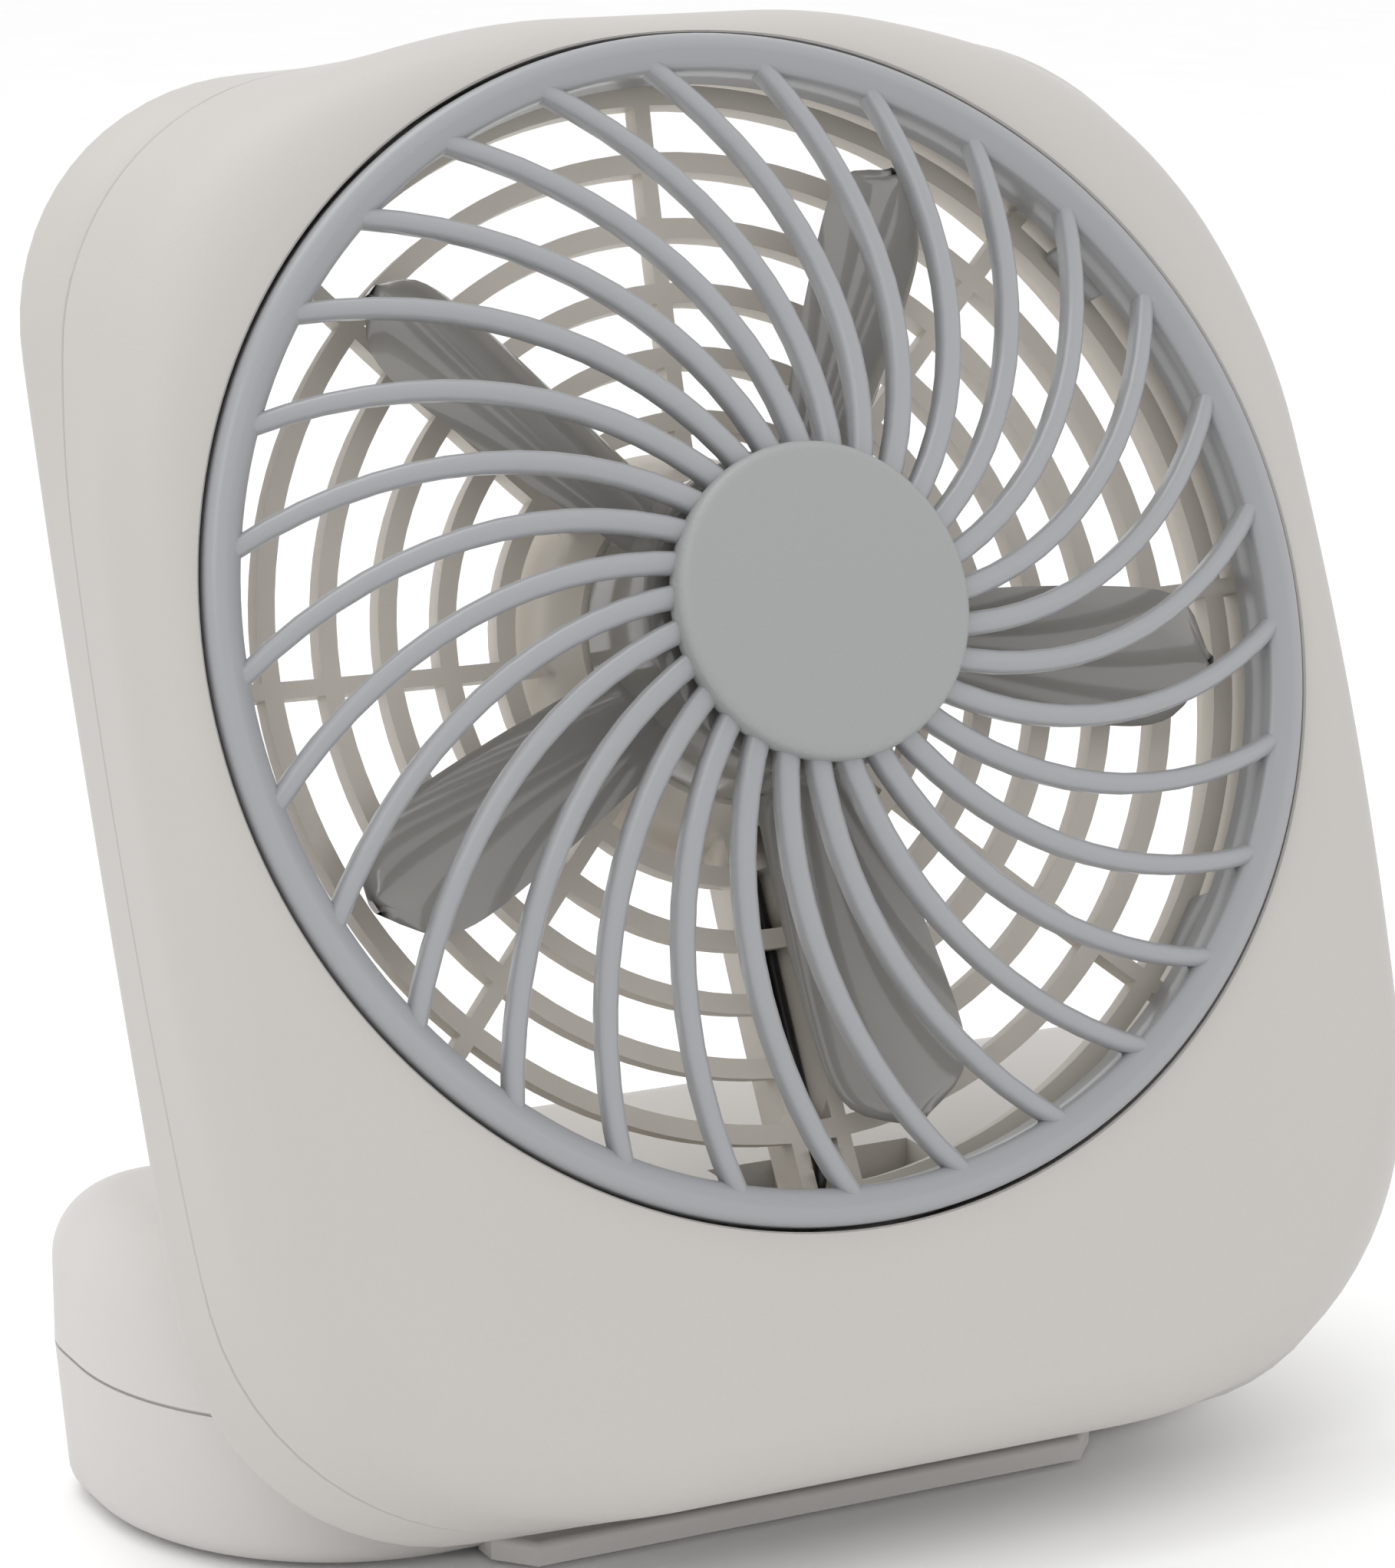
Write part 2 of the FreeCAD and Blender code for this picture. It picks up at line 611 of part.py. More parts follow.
def motor_shaft():
    """Steel shaft from the rear bearing to the impeller."""
    return rod_y(SHAFT_RADIUS, HUB_FRONT_Y + HUB_WALL, motor_back() - 0.3)


def rotor_core():
    """Laminated armature with three poles and its windings' outline."""
    core = tube_y(8.6, SHAFT_RADIUS, MOTOR_FRONT_Y + 4.0, motor_back() - 6.0)
    slot = box(5.0, 9.0, 0, REACH, -0.9, 0.9)
    for cut in ring_of(slot, 3, 30.0):
        core = core.cut(cut)
    return core


def commutator():
    """Copper commutator behind the armature."""
    return tube_y(2.6, SHAFT_RADIUS, motor_back() - 6.0, motor_back() - 2.2)


# ---------------------------------------------------------------- impeller

def blade_outline():
    """Paddle seen from the front, pointing along +X, as a tall block."""
    root = HUB_RADIUS - HUB_WALL / 2
    tip = BLADE_TIP_RADIUS
    half = BLADE_WIDTH / 2
    widest = 0.72 * tip
    low_root = V(root, 0, -0.30 * BLADE_WIDTH)
    high_root = V(root, 0, 0.26 * BLADE_WIDTH)
    low_side = V(widest, 0, -half)
    high_side = V(widest, 0, half)
    tip_point = V(tip, 0, -0.04 * BLADE_WIDTH)
    curve = Part.BSplineCurve()
    curve.interpolate([low_root, V(0.5 * (root + widest), 0, -0.47 * BLADE_WIDTH), low_side,
                       V(0.93 * tip, 0, -0.72 * half), tip_point, V(0.93 * tip, 0, 0.66 * half),
                       high_side, V(0.5 * (root + widest), 0, 0.42 * BLADE_WIDTH), high_root])
    face = Part.Face(Part.Wire([curve.toShape(), Part.makeLine(high_root, low_root)]))
    face.translate(V(0, -REACH / 2, 0))
    return face.extrude(V(0, REACH, 0))


def blade():
    """One cambered blade at a fixed pitch, pointing along +X."""
    low = BLADE_CAMBER_RADIUS
    high = BLADE_CAMBER_RADIUS + BLADE_THICKNESS
    length = BLADE_TIP_RADIUS + 2.0
    shell = rod_x(high, 0, length, 0, 0).cut(rod_x(low, 0, length, 0, 0))
    shell = shell.common(box(0, length, 0, REACH, -BLADE_WIDTH, BLADE_WIDTH))
    shell.translate(V(0, -BLADE_CAMBER_RADIUS, 0))
    shell.rotate(V(0, 0, 0), AXIS_X, BLADE_PITCH)
    shell.translate(V(0, BLADE_MID_Y, 0))
    return shell.common(blade_outline())


def impeller():
    """Cup-shaped hub with five paddle blades."""
    skirt = tube_y(HUB_RADIUS, HUB_RADIUS - HUB_WALL, HUB_FRONT_Y, HUB_REAR_Y)
    front = rod_y(HUB_RADIUS, HUB_FRONT_Y, HUB_FRONT_Y + HUB_WALL)
    front = front.makeFillet(HUB_WALL * 0.8, edges_in_plane(front, HUB_FRONT_Y, "y"))
    skirt = skirt.cut(rod_y(REACH, -REACH, HUB_FRONT_Y + HUB_WALL / 2))
    boss = rod_y(HUB_BOSS_RADIUS, HUB_FRONT_Y, MOTOR_FRONT_Y - BUSHING_LENGTH - 0.7)
    core = joined([skirt, front, boss])
    blades = ring_of(blade(), BLADE_COUNT, BLADE_FIRST_ANGLE)
    blades = [piece.cut(rod_y(HUB_RADIUS - HUB_WALL / 2, -REACH, REACH)) for piece in blades]
    wheel = joined([core] + blades)
    return wheel.cut(rod_y(SHAFT_RADIUS, HUB_FRONT_Y + HUB_WALL, REACH))


# ---------------------------------------------------------------- head hardware

def housing_screws():
    """Four screws from the back of the head."""
    return Part.makeCompound([screw(12.0, AXIS_Y * -1, V(x, REAR_Y - 2.2, z)) for x, z in HOUSING_SCREWS])


def motor_wire(side, name):
    """A wire from the motor, down the channel and back to the hinge."""
    inset = 1.0
    depth = (REAR_RIB_DEPTH + CHANNEL_DEPTH - CHANNEL_FLOOR) / 2
    turn_z = HINGE_HEAD_Z
    start_y = motor_back() - MOTOR_END_CAP / 2 - 0.15
    points = [(side * TERMINAL_X, start_y, -MOTOR_RADIUS - TERMINAL_LENGTH),
              (side * TERMINAL_X, start_y, -MOTOR_RADIUS - TERMINAL_LENGTH - 2.0),
              (side * 1.4, start_y - 3.6, -19.4),
              (side * inset, dish_y(24.0) + depth + 0.3, -24.0),
              (side * inset, dish_y(38.0) + depth, -38.0),
              (side * inset, dish_y(53.0) + depth, -53.0),
              (side * inset, dish_y(63.0) + depth, -63.0),
              (side * inset, dish_y(DUCT_RADIUS) + depth + 1.2, turn_z),
              (side * inset, HINGE_HEAD_Y - 6.0, turn_z),
              (side * inset * 1.1, HINGE_HEAD_Y - 0.4, turn_z)]
    return wire_along(points, WIRE_RADIUS, name)


# ---------------------------------------------------------------- base shells

def base_front():
    """Front face of the base, concentric with the hinge through its top rounding."""
    return HINGE_Y - BASE_ROUND


def base_top():
    """Top face of the base."""
    return HINGE_Z + BASE_ROUND


def base_plan(z, inset):
    """Outline of the base at height z, drawn in by inset."""
    half = BASE_HALF_WIDTH - inset
    y0 = base_front() + inset
    y1 = BASE_BACK - inset
    slab = box(-half, half, y0, y1, z, z + 1.0)
    upright = [edge for edge in slab.Edges if abs(edge.tangentAt(edge.FirstParameter).z) > 0.99]
    slab = slab.makeFillet(BASE_FRONT_CORNER - inset, [edge for edge in upright if edge.CenterOfMass.y < y0 + 1.0])
    upright = [edge for edge in slab.Edges if abs(edge.tangentAt(edge.FirstParameter).z) > 0.99]
    slab = slab.makeFillet(BASE_REAR_CORNER - inset, [edge for edge in upright if edge.CenterOfMass.y > y1 - 1.0])
    face = [face for face in slab.Faces if abs(face.CenterOfMass.z - z) < 0.01][0]
    return face.OuterWire


def base_upper_block(wall, roof):
    """Upper half of the base as a solid, drawn in by its walls."""
    height = base_top() - roof - SEAM_Z
    block = Part.Face(base_plan(SEAM_Z, wall)).extrude(V(0, 0, height))
    return block.makeFillet(BASE_ROUND - max(wall, roof), edges_in_plane(block, SEAM_Z + height, "z"))


def base_lower_block(wall, floor):
    """Lower half of the base as a solid, tapering towards the table."""
    bottom = FOOT_HEIGHT + floor
    block = Part.makeLoft([base_plan(bottom, BASE_TAPER + wall), base_plan(SEAM_Z, wall)], True, True)
    return block.makeFillet(BASE_LOW_FILLET - 0.8 * wall, edges_in_plane(block, bottom, "z"))


def notch(x0, x1, radius, top):
    """The space that a hinge lug sweeps, from straight ahead to straight up."""
    swing = rod_x(radius, x0, x1, HINGE_Y, HINGE_Z)
    ahead = box(x0, x1, base_front() - 1.0, HINGE_Y, HINGE_Z - radius, top)
    above = box(x0, x1, base_front() - 1.0, HINGE_Y + radius, HINGE_Z, top)
    return joined([swing, ahead, above])


def notch_half_width():
    """Half the width of a hinge notch: lug, washers and play."""
    return LUG_WIDTH / 2 + WASHER_THICKNESS + WASHER_PLAY


def cheek_inner():
    """Inner face of the wall that carries the pin's inner end."""
    return LUG_X - notch_half_width() - NOTCH_WALL


def cheek_outer():
    """Outer face of the wall that carries the pin's outer end."""
    return LUG_X + notch_half_width() + NOTCH_WALL


def screw_post(x, y, z0, z1, bore):
    """A hollow post for a base screw."""
    return rod_z(BOSS_RADIUS - 0.2, z0, z1, x, y).cut(rod_z(bore, z0, z1, x, y))


def seam_groove():
    """A fine groove round the base, where its two halves meet."""
    band = Part.Face(base_plan(SEAM_Z, 0.0)).extrude(AXIS_Z * SEAM_GROOVE)
    return band.cut(Part.Face(base_plan(SEAM_Z, SEAM_GROOVE)).extrude(AXIS_Z * SEAM_GROOVE))


def base_upper():
    """Upper shell: hinge pockets, control recess and screw bosses."""
    outer = base_upper_block(0.0, 0.0)
    shell = outer.cut(base_upper_block(BASE_WALL, BASE_ROOF))
    pocket = notch(-cheek_outer(), cheek_outer(), NOTCH_RADIUS + NOTCH_WALL, base_top())
    panel = box(PANEL_X - PANEL_THICKNESS, BASE_HALF_WIDTH, PANEL_FRONT_Y - 1.0, PANEL_BACK_Y + 1.0,
                PANEL_LOW_Z - 1.5, PANEL_HIGH_Z + 1.5)
    posts = [rod_z(BOSS_RADIUS - 0.2, SEAM_Z, base_top(), x, y) for x, y in BASE_SCREWS]
    shell = joined([shell, joined([pocket, panel] + posts).common(outer)]).cut(seam_groove())
    shell = shell.cut(box(PANEL_X, REACH, PANEL_FRONT_Y, PANEL_BACK_Y, PANEL_LOW_Z, PANEL_HIGH_Z))
    for side in (-1, 1):
        middle = side * LUG_X
        shell = shell.cut(notch(middle - notch_half_width(), middle + notch_half_width(), NOTCH_RADIUS, REACH))
        x0 = min(side * (cheek_inner()), side * REACH)
        x1 = max(side * (cheek_inner()), side * REACH)
        shell = shell.cut(rod_x(PIN_RADIUS, x0, x1, HINGE_Y, HINGE_Z))
    shell = shell.cut(notch(-GUIDE_NOTCH_HALF_WIDTH, GUIDE_NOTCH_HALF_WIDTH, NOTCH_RADIUS, REACH))
    lead_hole = box(-GUIDE_HOLE, GUIDE_HOLE, HINGE_Y - 1.0, HINGE_Y + 4.0, SEAM_Z - 1.0, HINGE_Z)
    shell = shell.cut(lead_hole)
    for x, y in BASE_SCREWS:
        shell = shell.cut(rod_z(SCREW_SHANK_RADIUS, 0, base_top() - 12.0, x, y))
    stem_reach = SWITCH_TRAVEL + STEM_SIZE / 2 + PLAY
    slot = box(PANEL_X - 3.0, PANEL_X + 3.0, SWITCH_Y - stem_reach, SWITCH_Y + stem_reach,
               CONTROL_Z - STEM_SIZE / 2 - PLAY, CONTROL_Z + STEM_SIZE / 2 + PLAY)
    shell = shell.cut(slot)
    shell = shell.cut(rod_x(JACK_NOSE_RADIUS, PANEL_X - 3.0, PANEL_X + 3.0, JACK_Y, CONTROL_Z))
    pocket_reach = SWITCH_LENGTH / 2 + PLAY
    pocket_back = PANEL_X - PANEL_THICKNESS
    return shell.cut(box(pocket_back - SWITCH_DEPTH, pocket_back, SWITCH_Y - pocket_reach, SWITCH_Y + pocket_reach,
                         CONTROL_Z - SWITCH_HEIGHT / 2 - PLAY, CONTROL_Z + SWITCH_HEIGHT / 2 + PLAY))


def stack_half_length():
    """Half the length of the two cells with the spring and contact plate."""
    return CELL_LENGTH + SPRING_LENGTH / 2


def partition_x():
    """Inner face of the walls at the ends of the battery bay."""
    return stack_half_length() + CONTACT_THICKNESS


def lip():
    """Flat tongue in front of the base, which keeps the fan from tipping forward."""
    front = base_front() - LIP_REACH
    back = base_front() + BASE_LOW_FILLET + BASE_TAPER + 1.0
    wide = LIP_HALF_WIDTH + LIP_FLARE
    points = [V(-wide, back, LIP_BOTTOM), V(-wide, base_front(), LIP_BOTTOM), V(-LIP_HALF_WIDTH, front, LIP_BOTTOM),
              V(LIP_HALF_WIDTH, front, LIP_BOTTOM), V(wide, base_front(), LIP_BOTTOM), V(wide, back, LIP_BOTTOM)]
    face = Part.Face(Part.makePolygon(points + points[:1]))
    tongue = face.extrude(V(0, 0, LIP_TOP - LIP_BOTTOM))
    return tongue.makeFillet(1.0, edges_in_plane(tongue, LIP_TOP, "z"))


def base_lower():
    """Lower shell: battery bay, door opening, screw posts, foot seats and front lip."""
    outer = base_lower_block(0.0, 0.0)
    shell = outer.cut(base_lower_block(BASE_WALL, BASE_FLOOR))
    floor_z = FOOT_HEIGHT + BASE_FLOOR
    added = []
    for side in (-1, 1):
        x0 = min(side * partition_x(), side * (partition_x() + PARTITION_THICKNESS))
        added.append(box(x0, x0 + PARTITION_THICKNESS, CONTACT_FRONT_Y + 1.5, CONTACT_BACK_Y + 4.0,
                         floor_z - 0.5, SEAM_Z + 8.0))
        pin_x = DOOR_HALF_WIDTH + DOOR_GAP
        x0 = min(side * pin_x, side * (pin_x + 2.4))
        added.append(box(x0, x0 + 2.4, DOOR_AXIS_Y - 2.4, DOOR_AXIS_Y + 2.0, floor_z - 0.5, DOOR_AXIS_Z + 2.6))
    cradle = box(-REACH, REACH, base_front() + 2.5, BASE_BACK - 2.5, floor_z - 0.5, SEAM_Z - 6.0)
    cradle = cradle.cut(rod_x(CELL_RADIUS + PLAY, -REACH, REACH, CELL_Y, CELL_Z))
    for x in (-46.0, -15.0, 15.0, 46.0):
        added.append(cradle.common(box(x - 0.8, x + 0.8, DOOR_FRONT_Y - 3.0, REACH, 0, REACH)))
    added = [piece.common(joined([outer, base_upper_block(BASE_WALL + PLAY, BASE_ROOF + PLAY)])) for piece in added]
    posts = [rod_z(BOSS_RADIUS - 0.2, floor_z - 0.5, SEAM_Z, x, y).common(outer) for x, y in BASE_SCREWS]
    seats = [rod_z(BOSS_RADIUS + 0.8, FOOT_HEIGHT, floor_z + 2.0, x, y).common(outer) for x, y in BASE_SCREWS]
    shell = joined([shell, lip()] + added + posts + seats)
    shell = shell.cut(box(-DOOR_HALF_WIDTH - DOOR_GAP, DOOR_HALF_WIDTH + DOOR_GAP, DOOR_FRONT_Y - DOOR_GAP,
                          DOOR_AXIS_Y + DOOR_BARREL + DOOR_GAP, 0, DOOR_AXIS_Z + DOOR_BARREL + DOOR_GAP))
    pin_reach = DOOR_HALF_WIDTH + DOOR_PIN_LENGTH + 0.4
    shell = shell.cut(rod_x(DOOR_PIN_RADIUS + PIN_PLAY, -pin_reach, pin_reach, DOOR_AXIS_Y, DOOR_AXIS_Z))
    for x, y in BASE_SCREWS:
        shell = shell.cut(rod_z(SCREW_SHANK_RADIUS + SCREW_HOLE_PLAY, 0, REACH, x, y))
        shell = shell.cut(rod_z(SCREW_HEAD_RADIUS + SCREW_HOLE_PLAY, 0, floor_z + 0.6, x, y))
    for x, y in FEET:
        shell = shell.cut(rod_z(FOOT_RADIUS, 0, FOOT_HEIGHT + FOOT_SEAT, x, y))
    return shell


def battery_door():
    """Long door under the cells, with a rolled rear edge and a pin at each end."""
    half = DOOR_HALF_WIDTH
    plate = box(-half, half, DOOR_FRONT_Y, DOOR_AXIS_Y, FOOT_HEIGHT, FOOT_HEIGHT + BASE_FLOOR)
    roll = rod_x(DOOR_BARREL, -half, half, DOOR_AXIS_Y, DOOR_AXIS_Z)
    pin_end = half + DOOR_PIN_LENGTH
    pins = rod_x(DOOR_PIN_RADIUS, -pin_end, pin_end, DOOR_AXIS_Y, DOOR_AXIS_Z)
    door = joined([plate, roll, pins])
    grip = box(-9.0, 9.0, DOOR_FRONT_Y - 1.0, DOOR_FRONT_Y + 2.2, 0, FOOT_HEIGHT + 0.8)
    return door.cut(grip)


# ---------------------------------------------------------------- base hardware

def hinge_pins():
    """Two steel pins, pressed into the base, that the head's lugs turn on."""
    pin = rod_x(PIN_RADIUS, cheek_inner(), cheek_outer(), HINGE_Y, HINGE_Z)
    return Part.makeCompound([pin, mirrored(pin)])


def friction_washers():
    """Four fibre washers, either side of each lug."""
    washers = []
    for side in (-1, 1):
        for face in (-1, 1):
            middle = side * LUG_X + face * (notch_half_width() - WASHER_THICKNESS / 2)
            x0 = middle - WASHER_THICKNESS / 2
            disc = rod_x(WASHER_RADIUS, x0, x0 + WASHER_THICKNESS, HINGE_Y, HINGE_Z)
            washers.append(disc.cut(rod_x(PIN_RADIUS, x0, x0 + WASHER_THICKNESS, HINGE_Y, HINGE_Z)))
    return Part.makeCompound(washers)


def battery_cell(start):
    """A D cell along X, from start, with its raised contact at the +X end."""
    can = rod_x(CELL_RADIUS, start, start + CELL_LENGTH - CELL_NUB_LENGTH, CELL_Y, CELL_Z)
    can = can.makeFillet(1.0, can.Edges)
    return can.fuse(rod_x(CELL_NUB_RADIUS, start + CELL_LENGTH - 2 * CELL_NUB_LENGTH, start + CELL_LENGTH,
                          CELL_Y, CELL_Z))


def cells_start():
    """Where the row of cells begins, after the spring."""
    return -stack_half_length() + SPRING_LENGTH


def contact_plate(side):
    """Flat contact against a partition, with a tab in front for its lead."""
    x0 = min(side * stack_half_length(), side * partition_x())
    blade_part = box(x0, x0 + CONTACT_THICKNESS, CONTACT_FRONT_Y + 1.5, CONTACT_BACK_Y, CELL_Z - 7.0, CELL_Z + 7.0)
    tab = box(x0, x0 + CONTACT_THICKNESS, CONTACT_FRONT_Y, CONTACT_FRONT_Y + 2.0, CELL_Z - 7.0, CELL_Z - 3.0)
    return blade_part.fuse(tab)


def contact_spring():
    """Conical spring, as stacked turns, with its plate."""
    pieces = [contact_plate(-1)]
    pitch = SPRING_LENGTH / SPRING_TURNS
    for turn in range(SPRING_TURNS):
        radius = 7.0 - 1.6 * turn
        x0 = -stack_half_length() + turn * pitch
        ring = rod_x(radius, x0, x0 + pitch, CELL_Y, CELL_Z)
        pieces.append(ring.cut(rod_x(radius - 2 * SPRING_WIRE - 1.0, x0, x0 + pitch, CELL_Y, CELL_Z)))
    return joined(pieces)


def switch_body():
    """Slide switch behind the panel, with three terminals below."""
    x1 = PANEL_X - PANEL_THICKNESS
    half = SWITCH_LENGTH / 2
    body = box(x1 - SWITCH_DEPTH, x1, SWITCH_Y - half, SWITCH_Y + half,
               CONTROL_Z - SWITCH_HEIGHT / 2, CONTROL_Z + SWITCH_HEIGHT / 2)
    reach = SWITCH_TRAVEL + STEM_SIZE / 2 + PLAY
    body = body.cut(box(x1 - 2.4, x1, SWITCH_Y - reach, SWITCH_Y + reach,
                        CONTROL_Z - STEM_SIZE / 2 - PLAY, CONTROL_Z + STEM_SIZE / 2 + PLAY))
    pins = []
    for offset in (-3.2, 0.0, 3.2):
        y = SWITCH_Y + offset
        pins.append(box(switch_pin_x() - 0.7, switch_pin_x() + 0.7, y - 0.3, y + 0.3,
                        switch_pin_z(), CONTROL_Z - SWITCH_HEIGHT / 2 + 0.5))
    return joined([body] + pins)


def switch_pin_x():
    """Where the switch's terminals stand."""
    return PANEL_X - PANEL_THICKNESS - SWITCH_DEPTH / 2


def switch_pin_z():
    """Lower end of the switch's terminals."""
    return CONTROL_Z - SWITCH_HEIGHT / 2 - 2.0


def switch_knob():
    """Ridged thumb piece with its stem."""
    x0 = PANEL_X + PLAY
    cap = box(x0, x0 + KNOB_PROUD, SWITCH_Y - KNOB_LENGTH / 2, SWITCH_Y + KNOB_LENGTH / 2,
              CONTROL_Z - KNOB_HEIGHT / 2, CONTROL_Z + KNOB_HEIGHT / 2)
    for offset in (-2.0, 0.0, 2.0):
        y = SWITCH_Y + offset
        cap = cap.cut(box(x0 + KNOB_PROUD - 0.6, REACH, y - 0.4, y + 0.4, 0, REACH))
    stem = box(PANEL_X - PANEL_THICKNESS - 2.0, x0 + 0.5, SWITCH_Y - STEM_SIZE / 2, SWITCH_Y + STEM_SIZE / 2,
               CONTROL_Z - STEM_SIZE / 2, CONTROL_Z + STEM_SIZE / 2)
    return cap.fuse(stem)


def power_jack():
    """Round inlet with a centre pin, behind the panel."""
    x1 = PANEL_X - PANEL_THICKNESS
    body = rod_x(JACK_RADIUS, x1 - JACK_DEPTH, x1, JACK_Y, CONTROL_Z)
    nose = rod_x(JACK_NOSE_RADIUS, x1 - 1.0, PANEL_X, JACK_Y, CONTROL_Z)
    shell = body.fuse(nose).cut(rod_x(JACK_HOLE_RADIUS, x1 - JACK_DEPTH + 1.2, REACH, JACK_Y, CONTROL_Z))
    return shell.fuse(rod_x(JACK_PIN_RADIUS, x1 - JACK_DEPTH, PANEL_X - 1.2, JACK_Y, CONTROL_Z))


def base_screws():
    """Four screws from below."""
    seat = FOOT_HEIGHT + BASE_FLOOR + 0.6 - SCREW_HEAD_HEIGHT
    return Part.makeCompound([screw(21.0, AXIS_Z, V(x, y, seat)) for x, y in BASE_SCREWS])


def rubber_feet():
    """Four pads that the fan stands on."""
    feet = []
    for x, y in FEET:
        foot = rod_z(FOOT_RADIUS, 0, FOOT_HEIGHT + FOOT_SEAT, x, y)
        feet.append(foot.makeFillet(0.3, edges_in_plane(foot, 0.0, "z")))
    return Part.makeCompound(feet)


def hinge_lead(side, rest):
    """Points of a lead from the hinge axis down into the base, then along rest."""
    start = [(side * 1.1, HINGE_Y + 0.5, HINGE_Z - 0.6), (side * 1.0, HINGE_Y + 1.3, HINGE_Z - 6.5),
             (side * 1.3, HINGE_Y + 1.9, HINGE_Z - 13.0), (side * 5.0, HINGE_Y + 2.6, HINGE_Z - 18.4),
             (side * 13.0, HINGE_Y + 3.2, HINGE_Z - 20.6), (side * 27.0, HINGE_Y + 3.0, HINGE_Z - 21.0)]
    return start + rest


def lead_black():
    """From the hinge to the spring contact."""
    end_z = CELL_Z - 5.0
    end_x = -stack_half_length() - CONTACT_THICKNESS / 2
    rest = [(-42.0, 6.9, 9.4), (-55.0, 7.4, 9.8), (end_x, 8.6, end_z), (end_x, CONTACT_FRONT_Y, end_z)]
    return wire_along(hinge_lead(-1, rest), WIRE_RADIUS, "lead_black")


def lead_cream():
    """From the hinge to the switch's middle terminal."""
    rest = [(42.0, 6.9, 9.2), (55.0, 7.4, 9.6), (64.5, 9.6, 11.8), (69.4, 14.6, 14.6),
            (switch_pin_x(), SWITCH_Y, switch_pin_z() - 4.0), (switch_pin_x(), SWITCH_Y, switch_pin_z())]
    return wire_along(hinge_lead(1, rest), WIRE_RADIUS, "lead_cream")


def lead_switch():
    """From the switch's outer terminal to the cells' positive contact."""
    end_y = CONTACT_FRONT_Y + 0.6
    end_z = CELL_Z - 5.2
    points = [(switch_pin_x(), SWITCH_Y + 3.2, switch_pin_z()), (switch_pin_x(), SWITCH_Y + 3.2, switch_pin_z() - 3.4),
              (67.6, SWITCH_Y + 0.6, 16.8), (partition_x() + 3.6, end_y, end_z), (partition_x(), end_y, end_z)]
    return wire_along(points, WIRE_RADIUS, "lead_switch")


# ---------------------------------------------------------------- assembly

def placed_in_stance(shape):
    """Lean a head piece back and set it on the hinge."""
    shape = shape.copy()
    shape.translate(V(0, -HINGE_HEAD_Y, -HINGE_HEAD_Z))
    shape.rotate(V(0, 0, 0), AXIS_X, -TILT)
    shape.translate(V(0, HINGE_Y, HINGE_Z))
    return shape


HEAD_PIECES = {
    "front_housing": front_housing,
    "rear_housing": rear_housing,
    "front_grille": front_grille,
    "motor_can": motor_can,
    "motor_bushing": motor_bushing,
    "motor_end_cap": motor_end_cap,
    "motor_magnets": motor_magnets,
    "motor_terminals": motor_terminals,
    "motor_retainer": motor_retainer,
    "retainer_screws": retainer_screws,
    "housing_screws": housing_screws,
    "impeller": impeller,
    "motor_shaft": motor_shaft,
    "rotor_core": rotor_core,
    "commutator": commutator,
    "wire_black": lambda: motor_wire(-1, "wire_black"),
    "wire_cream": lambda: motor_wire(1, "wire_cream"),
}
BASE_PIECES = {
    "base_upper": base_upper,
    "base_lower": base_lower,
    "battery_door": battery_door,
    "hinge_pins": hinge_pins,
    "friction_washers": friction_washers,
    "battery_left": lambda: battery_cell(cells_start()),
    "battery_right": lambda: battery_cell(cells_start() + CELL_LENGTH),
    "contact_spring": contact_spring,
    "contact_plate": lambda: contact_plate(1),
    "switch_body": switch_body,
    "switch_knob": switch_knob,
    "power_jack": power_jack,
    "base_screws": base_screws,
    "rubber_feet": rubber_feet,
    "lead_black": lead_black,
    "lead_cream": lead_cream,
    "lead_switch": lead_switch,
}

os.makedirs("parts", exist_ok=True)
pieces = {name: placed_in_stance(make()) for name, make in HEAD_PIECES.items()}
pieces.update({name: make() for name, make in BASE_PIECES.items()})
whole = Part.makeCompound(list(pieces.values())).optimalBoundingBox()
to_origin = V(-(whole.XMin + whole.XMax) / 2, -(whole.YMin + whole.YMax) / 2, -whole.ZMin)
for name, shape in pieces.items():
    shape.translate(to_origin)
    shape.exportStep("parts/" + name + ".step")
    print(name, len(shape.Solids), "solids", round(shape.Volume), "mm3", shape.isValid())
print("size", round(whole.XLength, 2), round(whole.YLength, 2), round(whole.ZLength, 2))
print("moved by", [round(value, 4) for value in to_origin])
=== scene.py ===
# %% [markdown]
# This file dresses a small folding desk fan. The mechanical model gives the sizes, the joints and
# the hidden works. Here the pieces that the eye meets first, the shells, the grille and the blades,
# are modelled again with softer forms, and every piece gets its plastic, metal or rubber.

# %% Load the frame
import json
import math

import bmesh
import bpy
from mathutils import Matrix, Vector


